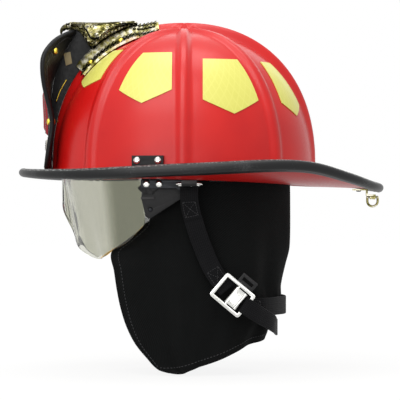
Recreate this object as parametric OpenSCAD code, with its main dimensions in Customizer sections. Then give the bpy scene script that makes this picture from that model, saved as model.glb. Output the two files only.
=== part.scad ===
// Traditional fire helmet: a combed shell with a long rear brim, a leather shield held by a brass eagle,
// a retracting visor, a foam liner with a ratchet headband, a chin strap and an ear and neck lap.
// Millimetres, +X to the front, +Y to the wearer's left, +Z up. The origin is the middle of the head opening.

/* [Shell dome] */
// Half the length of the dome at the brim
dome_half_length = 138; // [130:1:146]
// Half the width of the dome at the brim
dome_half_width = 112; // [106:1:120]
// Height of the dome above the brim plane, without its comb
dome_height = 150.5; // [146:0.5:158]
// Wall of the shell
wall = 3; // [2.5:0.25:3.5]
// Height of the front-to-back comb at the crown
comb_height = 10.5; // [8:0.5:12]
// Width of the front-to-back comb
comb_width = 23; // [18:1:26]
// Height of the six lower ribs
rib_height = 4.5; // [3:0.5:6]
// Width of the six lower ribs
rib_width = 18; // [14:1:20]

/* [Brim] */
// From the origin to the front edge of the brim
brim_front = 174; // [166:1:182]
// From the origin to the rear tip of the brim
brim_rear = 209; // [196:1:224]
// Half the width of the brim
brim_half_width = 141; // [134:1:148]
// Height of the brim's edge at the front
edge_front_z = 1; // [-4:0.5:4]
// Height of the brim's edge at the side
edge_side_z = 3; // [-2:0.5:6]
// Height of the brim's edge at its highest place, behind the side
edge_high_z = 7; // [4:0.5:10]
// Depth of the brim's rear tip below the brim plane
tip_drop = 16; // [10:0.5:22]
// Thickness of the trim on the brim's edge
trim_height = 11; // [8:0.5:13]
// Width of the trim from its outside to its lip on the brim
trim_depth = 14; // [11:0.5:17]

/* [Decals] */
// Distance from the middle of a rib to the decal ahead of it
decal_margin = 12; // [10:0.5:15]
// Distance from the middle of a rib to the decal behind it
decal_lead = 20; // [17:0.5:22]
// Thickness of a decal
decal_thickness = 0.6; // [0.4:0.1:1]

/* [Shield] */
// Drop from the eagle's crown to the shield's top edge
shield_drop = 10.5; // [8.5:0.5:13.5]
// Widest half width of the shield
shield_half_width = 62; // [56:1:66]
// Thickness of the leather
shield_thickness = 4; // [3:0.5:5]
// Thickness of a panel sewn on the shield
panel_thickness = 2; // [1.5:0.25:3]

/* [Visor] */
// Thickness of the visor lens
lens_thickness = 2.4; // [2:0.1:3]
// Half the width of the lens at its pivots
lens_half_width = 99; // [97:0.5:100]
// Radius of the pivot pins
pivot_radius = 3; // [2.5:0.25:4]
// Running clearance round a pin
pin_clearance = 0.05; // [0.02:0.01:0.1]
// Turn of the visor from its lowered to its raised place, in degrees
visor_turn = 40; // [30:1:42]

/* [Liner and headband] */
// Thickness of the foam liner at the crown
liner_thickness = 18; // [14:1:20]
// Half the length of the head opening
head_half_length = 101; // [96:1:104]
// Half the width of the head opening
head_half_width = 80; // [76:1:84]
// Height of the headband strip
band_height = 32; // [26:1:36]
// Thickness of the headband strip
band_thickness = 1.8; // [1.4:0.1:2.2]
// Radius of the ratchet knob
ratchet_radius = 17; // [14:0.5:20]

/* [Straps and lap] */
// Width of the chin strap
strap_width = 19; // [17:0.5:22]
// Thickness of the chin strap
strap_thickness = 1.8; // [1.4:0.1:2.2]
// Depth of the lap's lower edge below the brim plane
lap_drop = 213; // [205:1:218]
// Thickness of the lap's cloth
lap_thickness = 3; // [2.5:0.25:4]
// Depth of the lap's vertical folds
lap_fold = 5; // [2:0.5:7]

/* [Hidden] */

// The dome is a superellipsoid of this power, a little squarer than an ellipsoid
dome_power = 2.2;
// The dome's axis and the brim's widest place, along X
dome_x = 1;
brim_x = -10;
// Columns of the shell in one eighth of a turn, closer together over a rib, in degrees
rib_columns = [-14, -8, -4.8, -3.2, -1.6, 0, 1.6, 3.2, 4.8, 8, 14, 22.5];
columns = [for (k = [0:7]) for (c = rib_columns) 45 * k + c];
// Ribs run from the crown to the fillet over the brim, where they are this tall
comb_base_height = 4;
rib_base_height = 3;
// Where the shell's wall turns into the brim
root_front_z = -4;
root_rear_drop = 9;
root_fillet = 8;

// Smooth step from 0 to 1
function ease(t) = let (u = min(1, max(0, t))) u * u * (3 - 2 * u);

// A smooth curve through knots of [place, value]
function knot_span(k, t, i = 0) = i >= len(k) - 2 || t < k[i + 1][0] ? i : knot_span(k, t, i + 1);
function knot_slope(k, i) = i == 0 || i == len(k) - 1
    ? 0 : (k[i + 1][1] - k[i - 1][1]) / (k[i + 1][0] - k[i - 1][0]);
function end_slope(k, i) = i == 0
    ? (k[1][1] - k[0][1]) / (k[1][0] - k[0][0])
    : i == len(k) - 1 ? (k[i][1] - k[i - 1][1]) / (k[i][0] - k[i - 1][0]) : knot_slope(k, i);
function curve(k, t) = let (
        i = knot_span(k, t),
        h = k[i + 1][0] - k[i][0],
        u = min(1, max(0, (t - k[i][0]) / h)),
        s0 = end_slope(k, i) * h,
        s1 = end_slope(k, i + 1) * h)
    k[i][1] * (2 * u * u * u - 3 * u * u + 1) + s0 * (u * u * u - 2 * u * u + u)
    + k[i + 1][1] * (3 * u * u - 2 * u * u * u) + s1 * (u * u * u - u * u);

function flat(l) = [for (r = l) each r];
function unit(v) = v / norm(v);
function mid(l) = [for (i = [0:2]) [for (p = l) p[i]] * [for (p = l) 1] / len(l)];

// Solid through a list of rings with as many points each, closed by a point at each end or in a loop.
// Seen along the way from the first ring to the last, the rings run clockwise.
module loft(rings, loop = false) {
    m = len(rings);
    n = len(rings[0]);
    span = loop ? m : m - 1;
    sides = [for (i = [0:span - 1]) for (j = [0:n - 1]) let (
            a = i * n + j,
            b = i * n + (j + 1) % n,
            c = ((i + 1) % m) * n + (j + 1) % n,
            d = ((i + 1) % m) * n + j)
        each [[a, b, c], [a, c, d]]];
    ends = loop ? [] : concat(
        [for (j = [0:n - 1]) [m * n, (j + 1) % n, j]],
        [for (j = [0:n - 1]) [m * n + 1, (m - 1) * n + j, (m - 1) * n + (j + 1) % n]]);
    polyhedron(concat(flat(rings), loop ? [] : [mid(rings[0]), mid(rings[m - 1])]), concat(sides, ends));
}

// Slab between two grids of points, the second one under the first
module slab(top, under) {
    m = len(top);
    n = len(top[0]);
    u = m * n;
    skins = [for (i = [0:m - 2]) for (j = [0:n - 2]) let (a = i * n + j)
        each [[a, a + 1, a + n + 1], [a, a + n + 1, a + n],
            [u + a, u + a + n + 1, u + a + 1], [u + a, u + a + n, u + a + n + 1]]];
    rims = concat(
        [for (j = [0:n - 2]) each [[j, u + j, j + 1], [j + 1, u + j, u + j + 1]]],
        [for (j = [0:n - 2]) let (a = (m - 1) * n + j) each [[a, a + 1, u + a], [a + 1, u + a + 1, u + a]]],
        [for (i = [0:m - 2]) let (a = i * n) each [[a, a + n, u + a], [a + n, u + a + n, u + a]]],
        [for (i = [0:m - 2]) let (a = i * n + n - 1) each [[a, u + a, a + n], [a + n, u + a, u + a + n]]]);
    polyhedron(concat(flat(top), flat(under)), concat(skins, rims));
}

// Rise up the dome, 0 at the brim and 1 at the crown, as a share of its height, to its share of the plan
function dome_share(s) = pow(max(0, 1 - pow(s, dome_power)), 1 / dome_power);

// Point of the dome at an angle round its plan and a height, moved out along its normal
function dome_at(psi, z, out = 0) = let (
        s = max(0, z) / dome_height,
        c = dome_share(s),
        n = unit([pow(c, dome_power - 1) * cos(psi) / dome_half_length,
            pow(c, dome_power - 1) * sin(psi) / dome_half_width,
            pow(s, dome_power - 1) / dome_height]))
    [dome_x + dome_half_length * c * cos(psi), dome_half_width * c * sin(psi), z] + n * out;

// Share of a rib's height at a point of the plan, for the rib at 45 k degrees
function rib_way(k) = unit([dome_half_length * cos(45 * k), dome_half_width * sin(45 * k)]);
function rib_share(p, k) = let (
        w = rib_way(k),
        off = abs(p.x * w.y - p.y * w.x),
        half = (k % 4 == 0 ? comb_width : rib_width) / 2)
    p * w < 0 ? 0 : ease((1 - off / half) * 1.25);
function rib_out(psi, z) = let (
        c = dome_share(max(0, z) / dome_height),
        p = [dome_half_length * c * cos(psi), dome_half_width * c * sin(psi)],
        up = ease(z / dome_height))
    max([for (k = [0:7]) rib_share(p, k) * (k % 4 == 0
        ? comb_base_height + (comb_height - comb_base_height) * up
        : rib_base_height + (rib_height - rib_base_height) * up)]);

// The brim's root and edge. The root falls to the back and the edge rises behind the side.
function root_z(psi) = root_front_z - root_rear_drop * pow((1 - cos(psi)) / 2, 1.5);
edge_knots = [[0, edge_front_z], [50, edge_front_z - 3], [90, edge_side_z], [115, edge_high_z],
    [128, edge_high_z - 2], [144, edge_high_z - 12], [160, -tip_drop + 3], [180, -tip_drop]];
function edge_z(psi) = curve(edge_knots, abs(psi > 180 ? psi - 360 : psi));
function root_at(psi) = [dome_x + dome_half_length * cos(psi), dome_half_width * sin(psi)];
function edge_at(psi) = [brim_x + (cos(psi) > 0 ? brim_front - brim_x : brim_rear + brim_x) * cos(psi),
    brim_half_width * sin(psi)];
// Point of the brim's top at a share of the way from root to edge, and of the way out from the root in mm
function brim_at(psi, w, dz = 0) = let (
        a = root_at(psi),
        b = edge_at(psi),
        p = a + (b - a) * w,
        bow = w * w * 0.6 + w * 0.4)
    [p.x, p.y, root_z(psi) + (edge_z(psi) - root_z(psi)) * bow + dz];

dome_rises = [0.992, 0.965, 0.92, 0.85, 0.75, 0.62, 0.47, 0.3, 0.13];
inner_rises = [0.03, 0.3, 0.55, 0.75, 0.9, 0.975];
module outer_shell() {
    outside = [for (s = dome_rises) [for (psi = columns)
        dome_at(psi, s * dome_height, rib_out(psi, s * dome_height))]];
    wall_foot = [for (psi = columns) dome_at(psi, 0, rib_out(psi, 0))
        + [0, 0, root_z(psi) + root_fillet]];
    fillet = [for (psi = columns) let (o = dome_at(psi, 0, root_fillet * 0.3 + rib_out(psi, 0) * 0.4))
        [o.x, o.y, root_z(psi) + root_fillet * 0.28]];
    top = [for (w = [0, 0.45, 1]) [for (psi = columns) let (
        start = root_fillet / norm(edge_at(psi) - root_at(psi))) brim_at(psi, start + (1 - start) * w)]];
    under = [for (w = [1, 0.45, 0]) [for (psi = columns) let (
        start = root_fillet / norm(edge_at(psi) - root_at(psi))) brim_at(psi, start + (1 - start) * w, -wall)]];
    inner_foot = [for (psi = columns) let (o = dome_at(psi, 0, 0.5)) [o.x, o.y, root_z(psi) - wall * 0.6]];
    inner_wall = [for (psi = columns) let (o = dome_at(psi, 0, -wall)) [o.x, o.y, root_z(psi) + root_fillet * 0.5]];
    inside = [for (s = inner_rises) [for (psi = columns) dome_at(psi, s * dome_height, -wall)]];
    rows = concat(outside, [wall_foot, fillet], top, under, [inner_foot, inner_wall], inside);
    n = len(columns);
    last = len(rows) - 1;
    crown = [dome_x, 0, dome_height + comb_height];
    crown_inside = [dome_x, 0, dome_height - wall];
    body = [for (i = [0:last - 1]) for (j = [0:n - 1]) let (
            a = 1 + i * n + j,
            b = 1 + i * n + (j + 1) % n)
        each [[a, b, b + n], [a, b + n, a + n]]];
    caps = concat(
        [for (j = [0:n - 1]) [0, 1 + (j + 1) % n, 1 + j]],
        [for (j = [0:n - 1]) [1 + len(rows) * n, 1 + last * n + j, 1 + last * n + (j + 1) % n]]);
    color("#c8141c")
        polyhedron(concat([crown], flat(rows), [crown_inside]), concat(body, caps));
}

// The trim is a rounded channel round the brim's edge, which it grips with a small clearance
trim_clearance = 1.2;
trim_gap_half = wall / 2 + trim_clearance;
module brim_trim() {
    lip = trim_depth - 5;
    outline = [[-lip, trim_gap_half], [-lip, trim_gap_half + 1.2], [-lip + 4, trim_height / 2 - 0.6],
        [0, trim_height / 2], [3.4, trim_height / 2 - 1.8], [5, 0], [3.4, -trim_height / 2 + 1.8],
        [0, -trim_height / 2], [-lip + 4, -trim_height / 2 + 0.6], [-lip, -trim_gap_half - 1.2],
        [-lip, -trim_gap_half], [0.6, -trim_gap_half], [0.6, trim_gap_half]];
    rings = [for (psi = [0:3.75:359]) let (
            a = brim_at(psi, 1, -wall / 2),
            b = brim_at(psi, 0.86, -wall / 2),
            way = unit(a - b),
            ahead = edge_at(psi + 1),
            back = edge_at(psi - 1),
            t = unit(ahead - back),
            side = unit([t.y, -t.x, way.z / norm([way.x, way.y])]),
            up = unit(cross(side, [-t.x, -t.y, 0])))
        [for (q = outline) a + side * q.x + up * q.y]];
    color("#1b1c1e")
        loft(rings, loop = true);
}

// Top, lower corners and lowest point of a decal, from the front pair to the rear pair
decal_levels = [[129, 97, 89], [124, 84, 70], [117, 73.5, 59], [116, 72, 59]];
// Angle from rib j to the decal's side, at a share of the plan; the front rib carries the eagle's saddle
front_margin = decal_lead - 1.5;
function decal_reach(j, c, ahead) = asin((j % 8 == 0 ? front_margin : j == 4 || !ahead ? decal_lead : decal_margin)
    * norm([dome_half_length * cos(45 * j), dome_half_width * sin(45 * j)])
    / (c * dome_half_length * dome_half_width));
function decal_at(k, v, u, out) = let (
        levels = decal_levels[min(k, 7 - k)],
        foot = levels[1] - (levels[1] - levels[2]) * (1 - abs(2 * u - 1)),
        z = levels[0] + (foot - levels[0]) * v,
        c = dome_share(z / dome_height),
        from = 45 * k + decal_reach(k, c, k > 3),
        to = 45 * (k + 1) - decal_reach(k + 1, c, k < 4))
    dome_at(from + (to - from) * u, z, out);
module reflective_decals() {
    rows = [0:0.2:1];
    places = [0:1 / 6:1.001];
    color("#e9ea3c")
        for (k = [0:7])
            slab([for (v = rows) [for (u = places) decal_at(k, v, u, decal_seat + decal_thickness)]],
                [for (v = rows) [for (u = places) decal_at(k, v, u, decal_seat)]]);
}
decal_seat = 0.45;

// The eagle's crown is just over the comb, and its beak holds the shield's top
eagle_top_z = dome_height + comb_height + 0.5;
shield_top = eagle_top_z - shield_drop;
// The shield stands on the brim's root in front of the comb and leans back at its top
shield_foot_z = 2.4;
shield_foot_x = dome_x + dome_half_length + comb_base_height + 2.3;
shield_height = shield_top - shield_foot_z;
// How far the middle and the side edges lie in front of the foot, by the share of the height
shield_middle = [[0, 0], [0.35, 0], [0.58, 0], [0.72, -5], [0.86, -14.5], [1, -26]];
shield_side = [[0, 2], [0.14, -1], [0.34, -5], [0.5, -0.5], [0.6, 2.5], [0.71, 4], [0.8, 3], [0.88, -3],
    [0.95, -12.5], [1, -25]];
// Half width by the share of the height, as a share of the widest
shield_outline = [[0, 0.6], [0.1, 0.68], [0.33, 0.75], [0.5, 0.86], [0.66, 0.98], [0.75, 1], [0.84, 0.88],
    [0.92, 0.62], [0.97, 0.33], [1, 0.14]];
function shield_at(v, u, out = 0) = let (m = curve(shield_middle, v), e = curve(shield_side, v))
    [shield_foot_x + m + (e - m) * u * u + out, u * shield_half_width * curve(shield_outline, v),
        shield_foot_z + shield_height * v];
module shield_patch(low, high, half, rows, places, under, top) {
    slab([for (i = [0:rows]) [for (j = [0:places])
            shield_at(high + (low - high) * i / rows, half * (2 * j / places - 1), top)]],
        [for (i = [0:rows]) [for (j = [0:places])
            shield_at(high + (low - high) * i / rows, half * (2 * j / places - 1), under)]]);
}
leather_face = shield_thickness / 2;
module leather_shield() {
    color("#17171a")
        difference() {
            shield_patch(0, 1, 1, 18, 12, -leather_face, leather_face);
            for (q = rivet_places)
                rivet_hole(q);
        }
}
panel_seat = 0.25;
panel_low = leather_face + panel_seat;
panel_high = panel_low + panel_thickness;
module shield_centre_panel() {
    color("#b3202a")
        shield_patch(0.25, 0.59, 0.5, 5, 6, panel_low, panel_high);
}
module shield_lower_scroll() {
    color("#c9c6bd")
        shield_patch(0.13, 0.215, 0.62, 2, 8, panel_low, panel_high);
}

// Rivets clench the leather near its side edges, as [height share, width share]
rivet_places = [[0.845, 0.74], [0.845, -0.74], [0.34, 0.82], [0.34, -0.82]];
rivet_shank = 1.5;
rivet_head = 3.4;
module rivet_hole(q) {
    p = shield_at(q[0], q[1]);
    translate([p.x - 6, p.y, p.z])
        rotate([0, 90, 0])
            cylinder(r = rivet_shank + 0.05, h = 12, $fn = 32);
}
module shield_rivets() {
    color("#b08d3c")
        for (q = rivet_places) {
            p = shield_at(q[0], q[1]);
            stand = leather_face + 1.1;
            translate([p.x - stand, p.y, p.z])
                rotate([0, 90, 0])
                    cylinder(r = rivet_shank, h = 2 * stand, $fn = 32);
            translate([p.x + stand, p.y, p.z])
                rotate([0, 90, 0])
                    cylinder(r1 = rivet_head, r2 = rivet_head * 0.6, h = 1.4, $fn = 32);
            translate([p.x - stand - 1.4, p.y, p.z])
                rotate([0, 90, 0])
                    cylinder(r1 = rivet_head * 0.6, r2 = rivet_head, h = 1.4, $fn = 32);
        }
}

// Point of the shell's outside over a place of the plan, moved out along the dome's normal
function skin_at(x, y, out = 0) = let (
        p = [(x - dome_x) / dome_half_length, y / dome_half_width],
        z = dome_height * dome_share(min(1, norm(p))),
        psi = atan2(p.y, p.x))
    dome_at(psi, z, rib_out(psi, z) + out);

// The eagle: a saddle that follows the comb and a body whose back is level with the crown
eagle_seat = 1.75;
eagle_front_x = 106;
eagle_back_x = 50;
// Half width by the share of the length, from the back to the beak
eagle_half = [[0, 3], [0.15, 8], [0.35, 12], [0.55, 13], [0.66, 11], [0.76, 8.5], [0.86, 8], [0.94, 7],
    [1, 2.5]];
beak_x = shield_foot_x - 12;
saddle_thickness = 5;
saddle_top = eagle_seat + saddle_thickness;
body_seat = saddle_top - 0.95;
// The body's underside lies along the saddle, and then rises to the neck and the beak
seat_line = [for (x = [eagle_back_x - 4:6:eagle_front_x]) let (p = skin_at(x, 0, body_seat)) [p.x, p.z]];
neck_line = [[eagle_front_x - 5, curve(seat_line, eagle_front_x - 5)], [eagle_front_x, eagle_top_z - 22.8],
    [eagle_front_x + 6, eagle_top_z - 12.5], [beak_x - 14, eagle_top_z - 7.9], [beak_x - 5.3, eagle_top_z - 7.9],
    [beak_x - 1.3, eagle_top_z - 12.5], [beak_x, eagle_top_z - 14.5]];
function eagle_low(x) = curve(x < neck_line[0].x ? seat_line : neck_line, x);
// The back falls a little behind the crown, and the beak bends down
function eagle_high(x) = eagle_top_z - max(0, x - beak_x + 3.3) * 1.6 - max(0, eagle_back_x + 4 - x) * 0.5;
function eagle_ring(x) = let (
        hw = curve(eagle_half, (x - eagle_back_x) / (beak_x - eagle_back_x)),
        lo = eagle_low(x),
        hi = eagle_high(x))
    [for (a = [15:30:345]) [x, hw * sin(a), (hi + lo) / 2 + (hi - lo) / 2 * cos(a)
        + (a > 90 && a < 270 ? 0 : (hi - lo) * 0.08 * pow(sin(2 * a), 2))]];
// A leather-covered stay stands on the comb, fills the room behind the shield and carries it
stay_thickness = 7;
stay_low_z = 12;
stay_high_z = shield_top - 3;
stay_gap = 0.35;
module shield_stay() {
    color("#141416")
        translate([0, stay_thickness / 2, 0])
            rotate([90, 0, 0])
                linear_extrude(stay_thickness)
                    polygon(concat(
                        [for (z = [stay_low_z:8:stay_high_z])
                            let (v = (z - shield_foot_z) / shield_height)
                                [shield_at(v, 0, -leather_face - stay_gap).x, z]],
                        [for (x = [eagle_front_x + 6, eagle_front_x + 3, eagle_front_x + 1.5])
                            [x, eagle_low(x) - 2 * stay_gap]],
                        [for (x = [eagle_front_x - 9:3:eagle_front_x])
                            let (p = skin_at(x, 0, saddle_top + stay_gap)) [p.x, p.z]],
                        [let (p = skin_at(eagle_front_x + 1, 0, saddle_top + stay_gap)) [p.x, p.z]],
                        [let (p = skin_at(eagle_front_x + 1, 0, stay_gap)) [p.x, p.z]],
                        [for (z = [102:-6:stay_low_z])
                            let (p = dome_at(0, z, rib_out(0, z) + stay_gap)) [p.x, p.z]]));
}

// Behind the body the saddle thins out to tail feathers, which lie on the comb up to the crown
tail_thickness = 1.1;
tail_steps = 5;
function saddle_high(x, y) = let (
        t = saddle_thickness + (tail_thickness - saddle_thickness) * ease((eagle_back_x + 4 - x) / 12))
    eagle_seat + t * (1 - 0.024 * abs(y));
module eagle_saddle() {
    xs = [for (i = [-tail_steps:12]) eagle_back_x + (eagle_front_x - eagle_back_x) * i / 12];
    ys = [-17, -13, -9.5, -4, 4, 9.5, 13, 17];
    color("#8d7433")
        difference() {
            slab([for (x = xs) [for (y = ys) skin_at(x, y, saddle_high(x, y))]],
                [for (x = xs) [for (y = ys) skin_at(x, y, eagle_seat)]]);
            for (q = eagle_screw_places)
                on_skin(q, 0)
                    cylinder(r = screw_shank + 0.05, h = 9, $fn = 32);
        }
}
module eagle_body() {
    color("#8d7433")
        loft([for (s = [0.012, 0.07, 0.19, 0.31, 0.43, 0.54, 0.61, 0.67, 0.74, 0.83, 0.92, 0.97, 1])
            eagle_ring(eagle_back_x + s * (beak_x - eagle_back_x))]);
}
eagle_screw_places = [[97, 13.5], [97, -13.5], [66, 14], [66, -14]];
screw_shank = 1.5;
// Places its children on the shell's outside, their Z along the dome's normal
module on_skin(q, out) {
    p = skin_at(q.x, q.y, out);
    n = unit(skin_at(q.x, q.y, 10) - skin_at(q.x, q.y, 0));
    translate(p)
        rotate([0, acos(n.z), atan2(n.y, n.x)])
            children();
}
module eagle_screws() {
    color("#a5853a")
        for (q = eagle_screw_places) {
            on_skin(q, -2)
                cylinder(r = screw_shank, h = 9, $fn = 32);
            on_skin(q, saddle_top - 1)
                cylinder(r1 = 3, r2 = 2.2, h = 2, $fn = 32);
        }
}

// The hang ring swings on a bar under the rear tip, in the eye of a plate riveted to the brim
hang_x = -brim_rear + 6.5;
hang_plate_z = brim_at(180, 0.78, -wall).z - 0.4;
hang_eye_z = edge_z(180) - wall / 2 - trim_height / 2 - 4;
hang_wire = 1.3;
hang_half = 5.6;
hang_drop = 10;
eye_wall = 1.2;
eye_bore = hang_wire + pin_clearance;
module along_x(x, z, r, length) {
    translate([x, 0, z])
        rotate([0, 90, 0])
            cylinder(r = r, h = length, center = true, $fn = 48);
}
module hang_plate() {
    color("#a5853a")
        difference() {
            union() {
                translate([hang_x + 5.5, -6, hang_plate_z - 1.4])
                    cube([16, 12, 1.4]);
                translate([hang_x + 5.5, -6, hang_eye_z + eye_bore])
                    cube([1.4, 12, hang_plate_z - hang_eye_z - eye_bore]);
                translate([hang_x - 3, -6, hang_eye_z + eye_bore])
                    cube([9.9, 12, 1.4]);
                along_x(hang_x, hang_eye_z, eye_bore + eye_wall, 6);
            }
            along_x(hang_x, hang_eye_z, eye_bore, 20);
            for (y = [-3, 3])
                translate([hang_x + 15, y, hang_plate_z - 5])
                    cylinder(r = 1.55, h = 10, $fn = 32);
        }
}
module hang_rivets() {
    color("#a5853a")
        for (y = [-3, 3]) {
            translate([hang_x + 15, y, hang_plate_z - 3])
                cylinder(r = 1.5, h = wall + 4.5, $fn = 32);
            translate([hang_x + 15, y, hang_plate_z - 3])
                cylinder(r1 = 1.8, r2 = 2.6, h = 1.55, $fn = 32);
        }
}
module hang_ring() {
    color("#b99a4b") {
        along_x(hang_x, hang_eye_z, hang_wire, 2 * hang_half);
        for (s = [-1, 1]) {
            translate([hang_x + s * hang_half, 0, hang_eye_z - hang_drop + hang_half])
                cylinder(r = hang_wire, h = hang_drop - hang_half, $fn = 48);
            translate([hang_x + s * hang_half, 0, hang_eye_z])
                sphere(r = hang_wire, $fn = 48);
        }
        translate([hang_x, 0, hang_eye_z - hang_drop + hang_half])
            rotate([90, 0, 0])
                rotate_extrude(angle = -180, $fn = 64)
                    translate([hang_half, 0])
                        circle(r = hang_wire, $fn = 48);
    }
}

// The visor turns about the Y axis through this point, beside the temples
pivot_x = dome_x - 5;
pivot_z = -14;
// Half of the lens from the middle to its end, each row a column of the lens:
// its top place, its bottom place, and the heights of its top and bottom edges
lens_side = lens_half_width - 4.5;
lens_front = dome_half_length + dome_x - wall - 2.8;
lens_columns = [
    [[0, 0], [-1.5, 0], 2, -33], [[-1, 8], [-4, 7.5], 2, -42], [[-2.5, 15], [-16, 13.5], 2, -62],
    [[-5, 24], [-19.5, 20], 2, -79], [[-11, 39], [-27, 34], 1, -86.5], [[-21, 55], [-39.5, 47], -1, -92.5],
    [[-33, 67], [-46, 57.5], -4, -90.5], [[-44, 77], [-53, 65], -8, -85.5], [[-66, 87], [-75, 78], -6, -74],
    [[-89, lens_side], [-92, lens_side - 3], -5, -57], [[-107, lens_side], [-108, lens_side], -4, -40],
    [[-123, lens_side], [-123, lens_side], -4, -26]];
lens_top_z = 2;
lens_foot_z = -86;
lens_rows = 7;
function lens_at(k, side, t, out) = let (
        z = k[2] + (k[3] - k[2]) * t,
        f = (lens_top_z - z) / (lens_top_z - lens_foot_z),
        p = k[0] + (k[1] - k[0]) * f,
        way = unit([max(0.001, p.x + 100) * 0.6, p.y, 0]))
    [lens_front + p.x, side * p.y, z] + [way.x, side * way.y, 0] * out;
function lens_grid(out) = [for (i = [0:lens_rows]) concat(
    [for (j = [len(lens_columns) - 1:-1:1]) lens_at(lens_columns[j], -1, i / lens_rows, out)],
    [for (j = [0:len(lens_columns) - 1]) lens_at(lens_columns[j], 1, i / lens_rows, out)])];
module visor_lens() {
    color("#b9c2b4", 0.6)
        slab(lens_grid(0), lens_grid(-lens_thickness));
}

// Side plates carry the lens on the pivots. Each is flat, outside the lens's ends.
arm_y = lens_side + 0.3;
arm_thickness = 3;
arm_end = 10;
bore_radius = pivot_radius + pin_clearance;
arm_front_x = lens_front - 89;
knob_x = 38;
knob_z = -18;
module on_side(side, y) {
    translate([0, side * y, 0])
        rotate([-90 * side, 0, 0])
            children();
}
module arm(side) {
    difference() {
        on_side(side, arm_y) {
            linear_extrude(arm_thickness)
                scale([1, -side])
                    polygon([[pivot_x, pivot_z + arm_end], [arm_front_x, -5], [arm_front_x, -30],
                        [arm_front_x - 4, -47], [arm_front_x - 8, -50], [pivot_x, pivot_z - arm_end]]);
            translate([pivot_x, -side * pivot_z, 0])
                cylinder(r = arm_end, h = arm_thickness, $fn = 64);
        }
        on_side(side, arm_y - 1) {
            translate([pivot_x, -side * pivot_z, 0])
                cylinder(r = bore_radius, h = arm_thickness + 2, $fn = 64);
            for (q = arm_rivet_places)
                translate([q.x, -side * q.y, 0])
                    cylinder(r = 1.55, h = arm_thickness + 2, $fn = 32);
        }
    }
}
arm_rivet_places = [[arm_front_x - 9, -40], [arm_front_x - 9, -8.3]];
module visor_arm_left() {
    color("#151516")
        arm(1);
}
module visor_arm_right() {
    color("#151516")
        arm(-1);
}
module visor_rivets() {
    color("#303234")
        for (side = [-1, 1])
            for (q = arm_rivet_places)
                on_side(side, arm_y - 0.15) {
                    translate([q.x, -side * q.y, 0])
                        cylinder(r = 1.5, h = arm_thickness + 0.4, $fn = 32);
                    translate([q.x, -side * q.y, arm_thickness + 0.25])
                        cylinder(r1 = 2.6, r2 = 2, h = 0.9, $fn = 32);
                }
}

// A lobed grip on each arm, with a small lever bar under it
knob_stand = arm_y + arm_thickness;
knob_height = 3;
module visor_grips() {
    color("#101011")
        for (side = [-1, 1])
            on_side(side, knob_stand)
                translate([knob_x, -side * knob_z, 0]) {
                    linear_extrude(knob_height)
                        scale([1, 0.62])
                            circle(r = 9, $fn = 64);
                    for (a = [0:60:300])
                        translate([7.6 * cos(a), 4.6 * sin(a), 0])
                            cylinder(r = 2.2, h = knob_height + 0.4, $fn = 32);
                    translate([-7, side * 9, 0])
                        cube([14, 2.4, knob_height - 0.6]);
                }
}

// A plate under the brim on each side carries the pivot pin, outside the arm
plate_y = knob_stand + knob_height + 1.4;
plate_thickness = 2.4;
plate_top_z = brim_at(80, 0.05, -wall).z - 0.9;
plate_back_x = pivot_x - 9;
plate_front_x = 45;
module pivot_plate(side) {
    on_side(side, plate_y)
        linear_extrude(plate_thickness)
            scale([1, -side])
                difference() {
                    polygon([[plate_back_x, plate_top_z], [plate_front_x, plate_top_z],
                        [plate_front_x, -18], [pivot_x + 12, -18], [pivot_x + 6, -23], [plate_back_x + 2, -23]]);
                    for (x = plate_screw_x)
                        translate([x, plate_screw_z])
                            circle(r = 1.8, $fn = 32);
                }
    difference() {
        on_side(side, plate_y)
            translate([plate_back_x, side > 0 ? -plate_top_z : plate_top_z - 2, 0])
                cube([plate_front_x - plate_back_x, 2, 6]);
        for (x = plate_screw_x)
            on_side(side, plate_y)
                translate([x, -side * plate_screw_z, 0]) {
                    translate([0, 0, -1])
                        cylinder(r = 1.8, h = 4, $fn = 32);
                    translate([0, 0, plate_thickness])
                        cylinder(r = 4.4, h = 9, $fn = 48);
                }
    }
    on_side(side, arm_y - 1)
        translate([pivot_x, -side * pivot_z, 0])
            cylinder(r = pivot_radius, h = plate_y - arm_y + 1.5, $fn = 64);
    on_side(side, knob_stand + 0.1)
        translate([pivot_x, -side * pivot_z, 0])
            cylinder(r = 6, h = plate_y - knob_stand, $fn = 64);
}
plate_screw_x = [26, 39];
plate_screw_z = -13.6;
module pivot_plate_left() {
    color("#131314")
        pivot_plate(1);
}
module pivot_plate_right() {
    color("#131314")
        pivot_plate(-1);
}
module plate_screws() {
    color("#d8d8d4")
        for (side = [-1, 1])
            for (x = plate_screw_x)
                on_side(side, plate_y - 0.4)
                    translate([x, -side * plate_screw_z, 0]) {
                        cylinder(r = 1.75, h = plate_thickness + 0.6, $fn = 32);
                        translate([0, 0, plate_thickness + 0.45])
                            cylinder(r1 = 3.8, r2 = 2.6, h = 1.8, $fn = 48);
                    }
}

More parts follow.
